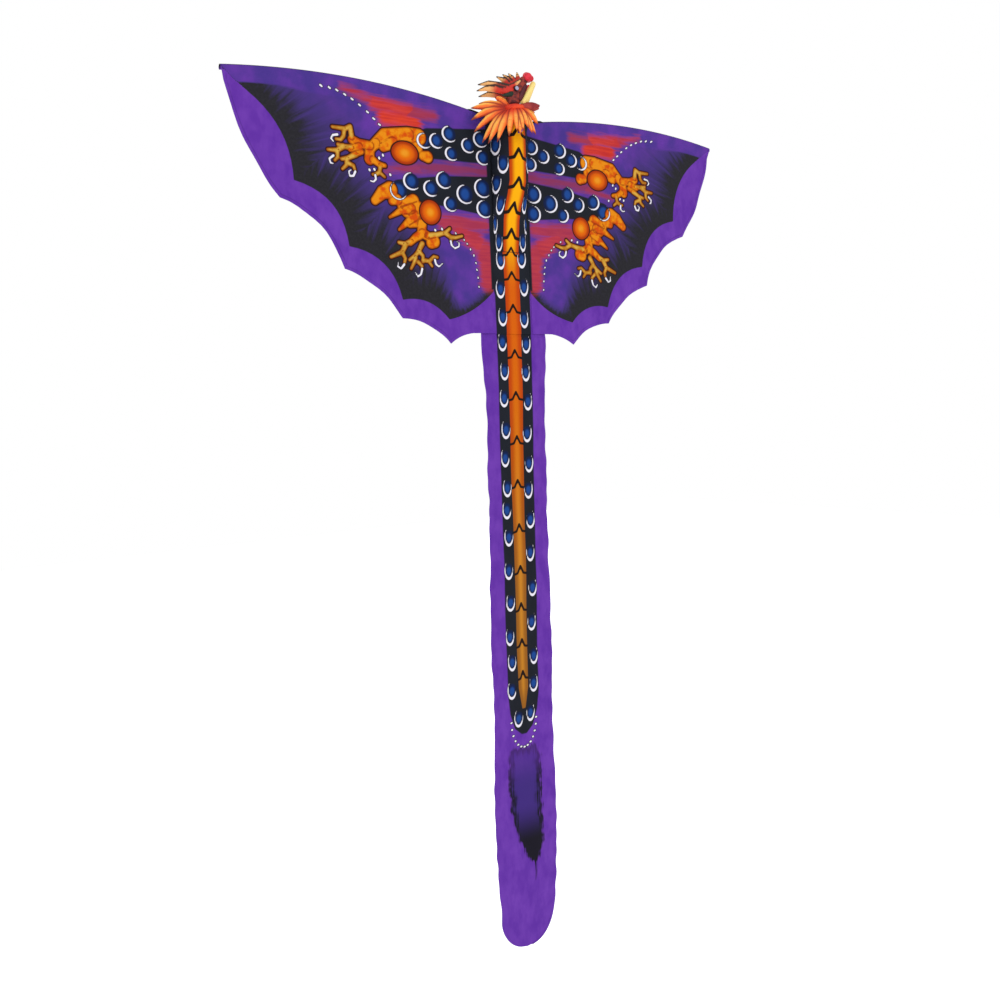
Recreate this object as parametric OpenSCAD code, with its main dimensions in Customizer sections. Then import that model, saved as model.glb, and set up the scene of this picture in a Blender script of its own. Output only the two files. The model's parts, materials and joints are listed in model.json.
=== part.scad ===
// Dragon kite: a flat painted bat wing on two bowed bamboo spars, a stuffed
// half-round neck with a modelled head and a spiked ruff, and a long ribbon tail.
// Frame: +X to the viewer's right, +Y behind the kite, +Z up along the spine.
// The origin is the centre of the tow eyelet at the throat.

/* [Sail] */
// Thickness of the sail cloth as a solid
sail_t = 1; // [0.8:0.1:1.4]
// Half of the wing span, from the spine to a wing tip
half_span = 566; // [540:2:590]
// Height of the wing tip above the tow eyelet
tip_z = 37; // [30:1:44]
// Radius of the bow that each leading edge is bent to
bow_r = 1600; // [1500:50:1900]
// Half width of the middle panel, from the spine to the wing fold
fold_x = 46; // [45:0.5:48]
// Height of the lower edge of the middle panel, where the tail begins
tail_top_z = -386; // [-388:1:-384]

/* [Spars] */
// Diameter of each leading-edge spar
spar_d = 6; // [5:0.5:7]
// Wall of the cloth sleeve round a spar
sleeve_wall = 1.2; // [0.8:0.1:1.4]
// Outer diameter of the vinyl joining tube
joint_d = 12; // [11.5:0.5:12.5]
// Diameter of the upright spine stick
spine_d = 8; // [7:0.5:8]
// Length that a spar is pushed into the vinyl tube
grip_len = 34; // [28:1:38]

/* [Tail] */
// Width of the ribbon tail
tail_w = 150; // [140:2:156]
// Length of the ribbon tail
tail_len = 1260; // [1100:20:1300]
// Lean of the hanging tail to one side, in degrees
tail_lean = 1.1; // [0:0.1:1.2]

/* [Neck and head] */
// Radius of the stuffed half-round neck
neck_r = 39.5; // [37:0.5:40]
// Length of the neck at its full radius
neck_len = 105; // [95:5:115]
// Turn of the head about its peg, in degrees
head_yaw = 50; // [40:1:60]
// Diameter of the peg that the head turns on
peg_d = 8; // [7:0.5:9]
// Diameter of the nose ball
nose_d = 22; // [20:1:24]

/* [Tow eyelet] */
// Bore of the brass tow eyelet
eyelet_bore = 6; // [5:0.5:6.5]
// Outer diameter of the eyelet's rim
eyelet_rim = 12; // [11:0.5:13]

/* [Hidden] */

sail_y = 48;             // the sail's middle plane, behind the eyelet
gap = 0.5;               // half of the gap between two cloth panels at a fold
over = 1;                // how far a cutting shape passes the face that it cuts
grip_slip = 0.05;        // room round a bar that is gripped
round_fn = 48;
arc_fn = 720;            // fine enough that the long bowed parts follow their arc
bar_fn = 32;
taper_fn = 24;
soft_fn = 12;
neck_fn = 96;

// The bow of a leading edge: its centre lies far below the wing, over bow_mid_x
bow_mid_x = 345;
bow_rise = 15;           // from the wing's tip up to the top of the bow
bow_z = tip_z + bow_rise - bow_r;
sleeve_slip = 0.3;
sleeve_r = spar_d / 2 + sleeve_slip + sleeve_wall;
function bow_top(x, r) = bow_z + sqrt(r * r - (x - bow_mid_x) * (x - bow_mid_x));
function bow_angle(x) = acos((x - bow_mid_x) / bow_r);

// Points of the scalloped hem, from the wing tip in to the tail, and how deep each
// stretch between two of them is cut in (a negative depth bulges out)
hem = [[half_span, tip_z - 5], [478, -163], [364, -276], [251, -360], [150, -406], [96, -385]];
hem_depth = [-14, 22, 13, 12, 4];
hem_steps = 8;
edge_steps = 16;
edge_slope = 0.24;       // rise of the wing's top edge beside the tube
edge_short = 6;          // how far the top edge stops short of the spar's end
panel_drop = 8;          // from the vinyl tube down to the top of the cloth behind it
panel_slip = 0.3;

// Wing tube end and sleeve positions along the span
tube_inset = 2;          // how far a length of tube stops from the fold line
tube_in = fold_x + tube_inset;
tube_out = tube_in + tube_inset + grip_len;
sleeve_in = tube_out + 2;
spar_inset = 2;          // how far a spar stops from the ends of its tube and its cap
spar_cap_len = 7;
cap_wall = 1.2;
sleeve_out = half_span - 8;
joint_z = 22;            // height of the vinyl tube at the spine
panel_top = joint_z - panel_drop;

// Upright stick behind the sail
spine_y = sail_y + joint_d / 2 + spine_d / 2;
spine_top = 33;
spine_foot = -330;
foot_cap_len = 14;
foot_cap_floor = 2;
pocket_side = 4;         // cloth on each side of the stick
pocket_drop = 6;         // from the stick's foot down to the pocket's
pocket_h = 46;
pocket_floor = 3;
pocket_slip = 1.5;

// Neck: a half round on the sail, then a round throat up to the collar
neck_top = 10;
neck_taper = 65;         // height of the taper below the full radius
neck_foot_r = 3;
throat_foot = 8;
cover_t = 1.5;           // wall of the neck's cloth cover
stuffing_gap = 0.2;
neck_slip = 0.3;
neck_back = sail_y - sail_t / 2 - neck_slip;
throat_r = 19;
collar_z = 38;
head_y = 18;
peg_slip = 0.3;

// Tow tab and eyelet
tab_front = neck_back - neck_r;
tab_r = 7.5;
tab_t = 1.6;
tab_slip = 0.1;
eyelet_wall = 0.8;
eyelet_len = 4;
rim_t = 1.2;

// Collar of the ruff, and the radii of a spike at its root, its knee and its tip
collar_drop = 8;
collar_h = 14;
collar_low_t = 4;
collar_high_t = 1;
collar_slip = 0.2;
collar_peg_gap = 1;
spike_r = [4.5, 5.2, 1.2];
spike_root = throat_r + 8;
knee_out = 0.55;         // how far out and how far up the knee lies between root and tip
knee_up = 0.4;

// Tip of each ruff spike as [forward, sideways, up] from the neck's own axis
left_tips = [[-35, 15, 60], [-65, 30, 46], [-80, 42, 35], [-75, 45, -10], [-60, 50, -32],
    [-31, 55, -34], [-9, 45, -22]];
right_tips = [[-60, -30, 50], [-52, -50, 46], [-31, -62, 44], [-5, -62, 44], [22, -54, 42],
    [38, -36, 42]];
throat_tips = [[6, 40, -12], [19, 36, -10], [35, 25, -15], [50, 8, 36], [48, -14, 40]];

// Lashing at the crossing of the stick and the vinyl tube
lashing_r = 11;
lashing_cord_r = 0.9;
lashing_pitch = 1.1;
lashing_back = 4.5;
lashing_slant = 45;
lashing_clear = 1.06;    // keeps one slant just clear of the other

// Head, in its own frame: forward is -Y and the snout points up
head_peg_foot = -70;
head_peg_top = 57;
skull_foot_z = 44.5;
skull_c = [0, 2, 64];
skull_r = 17;
skull_neck_h = 8;
skull_neck_r = 15;
snout_root = [0, -2, 72];
snout_tip = [0, -20, 92];
snout_root_r = 13;
snout_tip_r = 8;
jaw_root = [0, -21, 51];
jaw_tip = [0, -38, 82];
jaw_root_r = 6.5;
jaw_tip_r = 5;
mouth_root = [0, -14, 62];
mouth_tip = [0, -26, 84];
mouth_r = [7, 5];
tongue_root = [0, -25, 69];
tongue_tip = [0, -31, 84];
tongue_r = [2, 1.5];
nose_c = [0, -29, 97];
nose_lobe = 4;           // how far each nostril's lobe stands to the side
nose_trim = 1;           // how much smaller a lobe is than the whole nose
eye_c = [14.5, -6.5, 74];
eye_r = 5;
brow_back = [16, 4, 80];
brow_front = [11, -14, 88];
brow_r = [4, 2];
horn_root = [11, 8, 74];
horn_fork = [14, 40, 84];
horn_tips = [[15, 66, 88], [17, 68, 76]];
horn_r = [6.5, 5.5];
horn_tip_r = [5.2, 1];
crest_root = [0, 10, 78];
crest_step = [0, -4, 1];
crest_r = [5.5, 1];
crest_tips = [[0, 30, 103], [0, 18, 107], [0, 7, 107], [0, -10, 108]];

// Ribbon tail, cut into equal lengths at its fold lines
tail_count = 7;
tail_step = tail_len / tail_count;
tail_end_h = 70;         // height of the rounded end
tail_end_steps = 12;

module in_sail(thick = sail_t) {
    translate([0, sail_y + thick / 2, 0]) rotate([90, 0, 0]) linear_extrude(thick) children();
}

// A stretch of round bar bent to the bow, from x_in to x_out
module bowed(x_in, x_out, r_out, r_in = 0) {
    translate([bow_mid_x, sail_y, bow_z]) rotate([90, 0, 0]) rotate([0, 0, bow_angle(x_out)])
        rotate_extrude(angle = bow_angle(x_in) - bow_angle(x_out), $fn = arc_fn)
            translate([bow_r, 0]) difference() {
                circle(r_out, $fn = bar_fn);
                if (r_in > 0) circle(r_in, $fn = bar_fn);
            }
}

// A round taper between two points
module taper(from, to, r_from, r_to) {
    d = to - from;
    translate(from) rotate([0, acos(d[2] / norm(d)), atan2(d[1], d[0])])
        cylinder(h = norm(d), r1 = r_from, r2 = r_to, $fn = taper_fn);
}

// One side of the kite from the other
module left_hand() { mirror([1, 0, 0]) children(); }

// The head's own frame, with forward along -Y, turned about the peg
module on_neck() { translate([0, head_y, 0]) rotate([0, 0, head_yaw]) children(); }
function ahead(p) = [-p[1], -p[0], p[2]];

// ---- Sail ----
function scallop(a, b, depth, t) =
    let (n = [b[1] - a[1], a[0] - b[0]] / norm(b - a))
    a + (b - a) * t - n * depth * 4 * t * (1 - t);
function hem_points() = [for (i = [0 : len(hem) - 2], s = [0 : hem_steps - 1])
    scallop(hem[i], hem[i + 1], -hem_depth[i], s / hem_steps)];
function edge_points() = [for (s = [0 : edge_steps])
    let (x = fold_x + gap + (half_span - edge_short - fold_x) * s / edge_steps)
    [x, min(bow_top(x, bow_r - sleeve_r - panel_slip), panel_top + (x - fold_x) * edge_slope)]];

module wing_panel() {
    in_sail() polygon(concat(edge_points(), hem_points(),
        [hem[5], [fold_x + gap, hem[5][1]]]));
}

module chest_panel() {
    color("indigo") in_sail() polygon([[-fold_x + gap, panel_top], [fold_x - gap, panel_top],
        [fold_x - gap, tail_top_z + gap], [-fold_x + gap, tail_top_z + gap]]);
}

module left_wing_panel() { color("rebeccapurple") left_hand() wing_panel(); }
module right_wing_panel() { color("rebeccapurple") wing_panel(); }

module edge_sleeve() { bowed(sleeve_in, sleeve_out, sleeve_r, spar_d / 2 + sleeve_slip); }
module left_edge_sleeve() { color("indigo") left_hand() edge_sleeve(); }
module right_edge_sleeve() { color("indigo") edge_sleeve(); }

// ---- Spars and their vinyl joint ----
module spar() { bowed(tube_in + spar_inset, half_span - spar_inset, spar_d / 2); }
module left_spar() { color("burlywood") left_hand() spar(); }
module right_spar() { color("burlywood") spar(); }

module spar_cap() { bowed(half_span - spar_cap_len, half_span, spar_d / 2 + cap_wall, spar_d / 2); }
module left_spar_cap() { color("black") left_hand() spar_cap(); }
module right_spar_cap() { color("black") spar_cap(); }

module tube_end() { bowed(tube_in, tube_out, joint_d / 2, spar_d / 2 + grip_slip); }
module left_tube_end() { color("dimgray") left_hand() tube_end(); }
module right_tube_end() { color("dimgray") tube_end(); }

module centre_tube() {
    color("dimgray") translate([0, sail_y, joint_z]) rotate([0, 90, 0]) difference() {
        cylinder(h = 2 * (fold_x - tube_inset), d = joint_d, center = true, $fn = round_fn);
        cylinder(h = 2 * fold_x, d = spar_d + 2 * grip_slip, center = true, $fn = round_fn);
    }
}

module spine_stick() {
    color("burlywood") translate([0, spine_y, spine_foot])
        cylinder(h = spine_top - spine_foot, d = spine_d, $fn = round_fn);
}

module spine_foot_cap() {
    color("black") translate([0, spine_y, spine_foot - foot_cap_floor]) difference() {
        cylinder(h = foot_cap_len, d = spine_d + 2 * cap_wall, $fn = round_fn);
        translate([0, 0, foot_cap_floor]) cylinder(h = foot_cap_len, d = spine_d, $fn = round_fn);
    }
}

// Cloth pocket sewn to the back of the sail, which takes the capped foot of the stick
module spine_pocket() {
    pocket_w = spine_d + 2 * pocket_side;
    color("indigo") translate([0, spine_y, spine_foot - pocket_drop]) difference() {
        translate([-pocket_w / 2, sail_y + sail_t / 2 - spine_y, 0])
            cube([pocket_w, spine_d + pocket_side, pocket_h]);
        translate([0, 0, pocket_floor])
            cylinder(h = pocket_h, d = spine_d + 2 * pocket_slip, $fn = round_fn);
    }
}

// Cord wound crosswise over the stick and the vinyl tube, one slant over the other
module spine_lashing() {
    color("ivory") translate([0, sail_y + lashing_back, joint_z]) for (side = [-1, 1], turn = [-1, 1])
        rotate([0, side * lashing_slant, 0]) translate([turn * lashing_pitch, 0, 0]) rotate([0, 90, 0])
            rotate_extrude($fn = round_fn)
                translate([lashing_r + (side + 1) * lashing_cord_r * lashing_clear, 0])
                    circle(lashing_cord_r, $fn = 16);
}

// ---- Neck ----
module half_round(r, h, z) {
    translate([0, neck_back, z]) difference() {
        cylinder(h = h, r = r, $fn = neck_fn);
        translate([-r - over, 0, -over]) cube([2 * (r + over), r + over, h + 2 * over]);
    }
}

// The neck's outline grown inwards by a wall
module neck_solid(wall) {
    r = neck_r - wall;
    union() {
        difference() {
            union() {
                half_round(r, neck_len - wall, neck_top - neck_len);
                translate([0, neck_back, neck_top - neck_len - neck_taper + wall])
                    cylinder(h = neck_taper - wall, r1 = neck_foot_r, r2 = r, $fn = neck_fn);
            }
            translate([-neck_r - over, neck_back - wall, neck_top - neck_len - neck_taper - over])
                cube([2 * (neck_r + over), neck_r + over, neck_len + neck_taper + 2 * over]);
        }
        translate([0, head_y, throat_foot + wall])
            cylinder(h = collar_z - throat_foot - 2 * wall, r = throat_r - wall, $fn = round_fn);
    }
}

module neck_cover() {
    color("darkorange") difference() {
        neck_solid(0);
        neck_solid(cover_t);
        translate([0, head_y, 0])
            cylinder(h = collar_z + over, d = peg_d + 2 * peg_slip, $fn = round_fn);
    }
}

module neck_stuffing() {
    color("linen") difference() {
        neck_solid(cover_t + stuffing_gap);
        translate([0, head_y, head_peg_foot])
            cylinder(h = collar_z - head_peg_foot, d = peg_d, $fn = round_fn);
    }
}

module head_peg() {
    color("burlywood") translate([0, head_y, head_peg_foot])
        cylinder(h = head_peg_top - head_peg_foot, d = peg_d, $fn = round_fn);
}

// ---- Tow eyelet and its tab ----
module tow_tab() {
    color("indigo") difference() {
        union() {
            rotate([0, 90, 0]) cylinder(h = tab_t, r = tab_r, center = true, $fn = round_fn);
            translate([-tab_t / 2, 0, -tab_r]) cube([tab_t, tab_front - tab_slip, 2 * tab_r]);
        }
        rotate([0, 90, 0])
            cylinder(h = eyelet_len, d = eyelet_bore + 2 * eyelet_wall, center = true, $fn = round_fn);
    }
}

module tow_eyelet() {
    color("gold") rotate([0, 90, 0]) difference() {
        union() {
            cylinder(h = eyelet_len, d = eyelet_bore + 2 * eyelet_wall, center = true, $fn = round_fn);
            for (side = [-1, 1]) translate([0, 0, side * (eyelet_len - rim_t) / 2])
                cylinder(h = rim_t, d = eyelet_rim, center = true, $fn = round_fn);
        }
        cylinder(h = eyelet_len + 2 * over, d = eyelet_bore, center = true, $fn = round_fn);
    }
}

// ---- Ruff ----
module ruff_collar() {
    color("orangered") translate([0, head_y, collar_z - collar_drop]) difference() {
        cylinder(h = collar_h, r1 = throat_r + collar_low_t, r2 = throat_r + collar_high_t, $fn = round_fn);
        translate([0, 0, -over])
            cylinder(h = over + collar_drop + collar_slip, r = throat_r + collar_slip, $fn = round_fn);
        cylinder(h = collar_h + over, d = peg_d + 2 * collar_peg_gap, $fn = round_fn);
    }
}

// A soft bar with round ends between two points
module finger(from, to, r_from, r_to) {
    hull() {
        translate(from) sphere(r_from, $fn = soft_fn);
        translate(to) sphere(r_to, $fn = soft_fn);
    }
}

// A fat tapering spike that leaves the collar and bends once to its tip
module spike(tip) {
    flat = norm([tip[0], tip[1]]);
    out = [tip[0] / flat, tip[1] / flat, 0];
    root = out * spike_root + [0, 0, collar_z];
    knee = out * (spike_root + (flat - spike_root) * knee_out)
        + [0, 0, collar_z + (tip[2] - collar_z) * knee_up];
    finger(ahead(root), ahead(knee), spike_r[0], spike_r[1]);
    finger(ahead(knee), ahead(tip), spike_r[1], spike_r[2]);
}

module ruff_spikes_left() { color("orange") on_neck() for (tip = left_tips) spike(tip); }
module ruff_spikes_right() { color("orange") on_neck() for (tip = right_tips) spike(tip); }
module ruff_spikes_throat() { color("tomato") on_neck() for (tip = throat_tips) spike(tip); }

// ---- Head, built facing -Y with the snout pointing up ----
module skull() {
    color("sienna") on_neck() difference() {
        union() {
            translate([0, 0, skull_foot_z])
                cylinder(h = skull_neck_h, r1 = skull_neck_r, r2 = skull_r, $fn = round_fn);
            translate(skull_c) sphere(skull_r, $fn = round_fn);
        }
        translate([0, 0, skull_foot_z - over])
            cylinder(h = head_peg_top - skull_foot_z + 2 * over, d = peg_d + 2 * grip_slip, $fn = round_fn);
    }
}

module snout() {
    color("firebrick") on_neck() hull() {
        translate(snout_root) sphere(snout_root_r, $fn = bar_fn);
        translate(snout_tip) sphere(snout_tip_r, $fn = bar_fn);
    }
}

module lower_jaw() {
    color("khaki") on_neck() hull() {
        translate(jaw_root) sphere(jaw_root_r, $fn = bar_fn);
        translate(jaw_tip) sphere(jaw_tip_r, $fn = bar_fn);
    }
}

module mouth_lining() { color("maroon") on_neck() taper(mouth_root, mouth_tip, mouth_r[0], mouth_r[1]); }
module tongue() { color("crimson") on_neck() taper(tongue_root, tongue_tip, tongue_r[0], tongue_r[1]); }

module nose_ball() {
    color("crimson") on_neck() translate(nose_c) rotate([0, 90, 0]) rotate_extrude($fn = round_fn)
        difference() {
            union() for (side = [-1, 1]) translate([0, side * nose_lobe])
                circle(nose_d / 2 - nose_trim, $fn = round_fn);
            translate([-nose_d, -nose_d]) square([nose_d, 2 * nose_d]);
        }
}

module eye() { translate(eye_c) sphere(eye_r, $fn = bar_fn); }
module left_eye() { color("white") on_neck() left_hand() eye(); }
module right_eye() { color("white") on_neck() eye(); }

module brow() { finger(brow_back, brow_front, brow_r[0], brow_r[1]); }
module left_brow() { color("saddlebrown") on_neck() left_hand() brow(); }
module right_brow() { color("saddlebrown") on_neck() brow(); }

// A forked flame horn swept back from the temple
module horn() {
    finger(horn_root, horn_fork, horn_r[0], horn_r[1]);
    for (tip = horn_tips) finger(horn_fork, tip, horn_tip_r[0], horn_tip_r[1]);
}
module left_horn() { color("darkred") on_neck() left_hand() horn(); }
module right_horn() { color("darkred") on_neck() horn(); }

// Row of flame tips over the crown
module crest() {
    color("tan") on_neck() for (i = [0 : len(crest_tips) - 1])
        finger(crest_root + i * crest_step, crest_tips[i], crest_r[0], crest_r[1]);
}

// ---- Tail ----
function lean(z) = (z - tail_top_z) * tan(tail_lean);
tail_end_z = tail_top_z - tail_len;
module tail_piece(i) {
    top = tail_top_z - (i - 1) * tail_step - gap;
    low = tail_top_z - i * tail_step + gap;
    w = tail_w / 2;
    last = i == tail_count;
    sides_low = last ? tail_end_z + tail_end_h : low;
    end = last ? [for (s = [0 : tail_end_steps]) let (a = 180 * s / tail_end_steps)
            [lean(sides_low) + w * cos(a), sides_low - tail_end_h * sin(a)]]
        : [[lean(low) + w, low], [lean(low) - w, low]];
    color("rebeccapurple") in_sail() polygon(concat(
        [[lean(top) - w, top], [lean(top) + w, top]], end));
}
module tail_1() { tail_piece(1); }
module tail_2() { tail_piece(2); }
module tail_3() { tail_piece(3); }
module tail_4() { tail_piece(4); }
module tail_5() { tail_piece(5); }
module tail_6() { tail_piece(6); }
module tail_7() { tail_piece(7); }

spine_stick();
spine_foot_cap();
spine_pocket();
centre_tube();
spine_lashing();
chest_panel();
neck_cover();
neck_stuffing();
head_peg();
tow_tab();
tow_eyelet();
ruff_collar();
ruff_spikes_left();
ruff_spikes_right();
ruff_spikes_throat();
left_wing_panel();
left_edge_sleeve();
left_tube_end();
left_spar();
left_spar_cap();
right_wing_panel();
right_edge_sleeve();
right_tube_end();
right_spar();
right_spar_cap();
skull();
snout();
lower_jaw();
mouth_lining();
tongue();
nose_ball();
left_eye();
right_eye();
left_brow();
right_brow();
left_horn();
right_horn();
crest();
tail_1();
tail_2();
tail_3();
tail_4();
tail_5();
tail_6();
tail_7();
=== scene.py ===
"""Looks of a hand-painted dragon kite, built around its CAD frame.

The row frame is in metres: +X to the viewer's right, +Y behind the kite, +Z up, with the origin at
the tow eyelet. Paint and cloth are worked out in millimetres and turned into metres at one place.
"""

import json
import logging
import math
from dataclasses import dataclass
from enum import Enum
from typing import Dict, List, Sequence, Tuple, Union

import bpy
import numpy as np
from mathutils import Matrix, Vector


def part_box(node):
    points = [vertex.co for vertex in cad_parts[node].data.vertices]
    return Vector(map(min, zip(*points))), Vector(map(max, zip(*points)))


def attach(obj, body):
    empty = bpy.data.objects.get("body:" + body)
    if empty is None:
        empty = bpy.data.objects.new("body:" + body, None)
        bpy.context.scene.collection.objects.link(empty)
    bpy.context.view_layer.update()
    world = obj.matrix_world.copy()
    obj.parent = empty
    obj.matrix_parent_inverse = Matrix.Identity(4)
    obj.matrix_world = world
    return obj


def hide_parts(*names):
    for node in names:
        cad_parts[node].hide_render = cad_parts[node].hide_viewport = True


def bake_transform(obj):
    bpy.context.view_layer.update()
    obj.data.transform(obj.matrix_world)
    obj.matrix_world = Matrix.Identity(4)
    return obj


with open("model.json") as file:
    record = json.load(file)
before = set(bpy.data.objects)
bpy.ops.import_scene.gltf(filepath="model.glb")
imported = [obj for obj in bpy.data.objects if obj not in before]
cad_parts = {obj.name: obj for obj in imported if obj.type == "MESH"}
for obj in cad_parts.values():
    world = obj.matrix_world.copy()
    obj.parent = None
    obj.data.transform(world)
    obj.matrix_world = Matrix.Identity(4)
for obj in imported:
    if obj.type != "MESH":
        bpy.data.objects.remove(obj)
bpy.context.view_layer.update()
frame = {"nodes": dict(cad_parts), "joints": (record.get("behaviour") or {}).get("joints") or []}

logging.basicConfig(level=logging.INFO, format="%(name)s: %(message)s")
LOG = logging.getLogger("kite")

MM = 0.001
FAR = 400.0  # a distance in mm that stands for "nowhere near"
JOINTS = {joint["name"]: [value / MM for value in joint["pos_m"]] for joint in frame["joints"]}
SAIL_Y = JOINTS["tail_bend_1"][1]
FOLD_X = JOINTS["right_wing_fold"][0] - 0.5  # the wing cloth's inner edge, inside its fold line
TAIL_TOP = JOINTS["tail_bend_1"][2]
TAIL_STEP = TAIL_TOP - JOINTS["tail_bend_2"][2]
TAIL_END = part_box("tail_7")[0].z / MM
TAIL_COUNT = 7
LEAN = math.tan(math.radians(1.1))
BOW_X, _, BOW_Z = JOINTS["right_spar_draw"]
BOW_R = 1600.0  # radius that the spars are bowed to
HEAD_YAW = math.radians(50)
HEAD_Y = JOINTS["head_turn"][1]
TIP_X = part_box("right_spar_cap")[1].x / MM + 1.4  # the wing cloth's outer end, just past the spar's cap

Array = np.ndarray
Point = Tuple[float, ...]
Fields = Dict[str, Array]
Socket = bpy.types.NodeSocket
# What an input may be given; a string is a colour in sRGB hex, or the name of a paint field.
Value = Union[float, str, Tuple[float, ...], Socket]


class Side(Enum):
    """A side of the kite, with the sign of its X."""

    LEFT = -1
    RIGHT = 1


# ---------------------------------------------------------------- paint geometry, in mm


def smooth(value: Array, low: float, high: float) -> Array:
    """Smooth step from 0 at low to 1 at high.

    Args:
        value: Values to map.
        low: Where the step starts.
        high: Where it ends.

    Returns:
        Values from 0 to 1.
    """
    t = np.clip((np.asarray(value, float) - low) / (high - low), 0, 1)
    return t * t * (3 - 2 * t)


def brush(x: Array, z: Array, path: Sequence[Point], r_from: float, r_to: float) -> Array:
    """Signed distance to a brush stroke that tapers along a path.

    Args:
        x: Across positions.
        z: Up positions.
        path: Points of the stroke.
        r_from: Half width where it starts.
        r_to: Half width where it ends.

    Returns:
        Distance in mm, negative inside the stroke.
    """
    legs = [math.dist(a, b) for a, b in zip(path, path[1:])]
    total = sum(legs)
    done = 0.0
    best = np.full(np.shape(x), FAR)
    for (ax, az), (bx, bz), leg in zip(path, path[1:], legs):
        t = np.clip(((x - ax) * (bx - ax) + (z - az) * (bz - az)) / leg**2, 0, 1)
        radius = r_from + (r_to - r_from) * (done + t * leg) / total
        best = np.minimum(best, np.hypot(x - ax - t * (bx - ax), z - az - t * (bz - az)) - radius)
        done += leg
    return best


def crescent(x: Array, z: Array, at: Point, size: Point, facing: float, reach: float,
             wide: float) -> Array:
    """Signed distance to a painted crescent that thins towards both ends.

    Args:
        x: Across positions.
        z: Up positions.
        at: Centre of the arc.
        size: The arc's two half sizes.
        facing: Direction of its thickest place, in degrees.
        reach: Half of the angle that it covers, in degrees.
        wide: Half width at its thickest.

    Returns:
        Distance in mm, negative inside the crescent.
    """
    u, w = (x - at[0]) / size[0], (z - at[1]) / size[1]
    turn = np.abs((np.degrees(np.arctan2(w, u)) - facing + 180) % 360 - 180)
    mean = (size[0] + size[1]) / 2
    off = np.abs(np.hypot(u, w) - 1) * mean
    past = np.maximum(turn - reach, 0) * math.pi / 180 * mean
    taper = np.cos(np.clip(turn / reach, 0, 1) * math.pi / 2) ** 0.55
    return np.hypot(off, past) - wide * np.maximum(taper, 0.05)


def scalloped(cusps: Sequence[Point], depths: Sequence[float], steps: int = 10) -> Array:
    """A line of arcs between cusps.

    Args:
        cusps: Points where the arcs meet.
        depths: How far each arc is cut in, towards the kite's middle; negative bulges out.
        steps: Points to each arc.

    Returns:
        The points of the line.
    """
    line = []
    for a, b, depth in zip(cusps, cusps[1:], depths):
        a, b = np.array(a, float), np.array(b, float)
        out = np.array([a[1] - b[1], b[0] - a[0]]) / np.linalg.norm(b - a)
        for s in range(steps):
            t = s / steps
            line.append(a + (b - a) * t + out * -depth * 4 * t * (1 - t))
    line.append(np.array(cusps[-1], float))
    return np.array(line)


def rim_of(x: Array, z: Array, line: Array) -> Tuple[Array, Array]:
    """Distance from a line and the place along it.

    Args:
        x: Across positions.
        z: Up positions.
        line: Points of the line, from the wing tip inwards.

    Returns:
        Signed distance in mm, positive on the kite's inner side, and the length along the line.
    """
    best, along, sign = np.full(x.shape, 1e9), np.zeros(x.shape), np.ones(x.shape)
    done = 0.0
    for (ax, az), (bx, bz) in zip(line, line[1:]):
        leg = math.hypot(bx - ax, bz - az)
        t = np.clip(((x - ax) * (bx - ax) + (z - az) * (bz - az)) / leg**2, 0, 1)
        d = np.hypot(x - ax - t * (bx - ax), z - az - t * (bz - az))
        side = np.sign((bx - ax) * (z - az) - (bz - az) * (x - ax))
        near = d < best - 1e-6
        best, along = np.where(near, d, best), np.where(near, done + t * leg, along)
        sign = np.where(near, side, sign)
        done += leg
    return best * -sign, along


HEM_FOLD = 6.0  # how far in from the edge the hem is stitched
HEM = scalloped([(566, 32), (478, -163), (364, -276), (251, -360), (150, -406), (96, -385), (45, -385)],
                [-14, 22, 13, 12, 4, 0])
BORDER = scalloped([(524, 6), (450, -131), (352, -236), (249, -326), (150, -360), (40, -298)],
                   [21, 27, 24, 15, -10])


def hem_z(x: Array) -> Array:
    """Height of the wing's scalloped hem over each place across it."""
    return np.interp(x, HEM[::-1, 0], HEM[::-1, 1])


def bow_at(x: Array) -> Array:
    """Height of the bowed spar's centre line over each place across the wing."""
    return BOW_Z + np.sqrt(BOW_R**2 - (x - BOW_X) ** 2)


Stroke = Tuple[List[Point], float, float]  # its path and the half widths where it starts and ends


@dataclass(frozen=True)
class Claw:
    """The strokes of one painted foot."""

    ball: Tuple[float, float, float, float]
    lobes: List[Stroke]
    toes: List[Stroke]
    nails: List[List[Point]]


UPPER_CLAW = Claw(
    ball=(230, -61, 27, 20),
    lobes=[([(199, -29), (222, -27)], 15, 13), ([(222, -27), (270, -33), (290, -52)], 13, 10),
           ([(203, -48), (212, -52)], 11, 10), ([(254, -46), (274, -56)], 11, 8),
           ([(182, -63), (192, -62)], 11, 9), ([(288, -50), (301, -62), (303, -80)], 9, 10),
           ([(300, -56), (322, -55), (336, -50)], 8, 8), ([(296, -80), (284, -87), (272, -88)], 7, 4),
           ([(322, -60), (340, -66)], 7, 6), ([(318, -69), (334, -76)], 5, 5)],
    toes=[([(336, -46), (338, -28), (348, -33), (373, -33)], 5, 2.6),
          ([(350, -34), (352, -46), (358, -53), (367, -53)], 4, 2.4),
          ([(338, -64), (352, -64), (364, -62)], 5, 3), ([(354, -64), (366, -72), (384, -73)], 5, 2.4),
          ([(366, -73), (366, -84), (372, -90)], 4, 2.2), ([(330, -75), (346, -83), (358, -86)], 5, 3),
          ([(348, -84), (350, -96), (358, -103)], 4, 2.4), ([(346, -92), (336, -95), (333, -104)], 4, 2.2),
          ([(281, -88), (284, -101), (274, -108)], 4, 2.4),
          ([(284, -101), (293, -106), (298, -106)], 4, 2.2)],
    nails=[[(364, -45), (373, -47), (377, -53), (372, -58)],
           [(374, -82), (382, -88), (381, -95), (375, -96)],
           [(333, -105), (337, -113), (344, -114), (346, -106), (341, -103)],
           [(293, -107), (292, -114), (297, -119), (304, -118)]])
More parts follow.
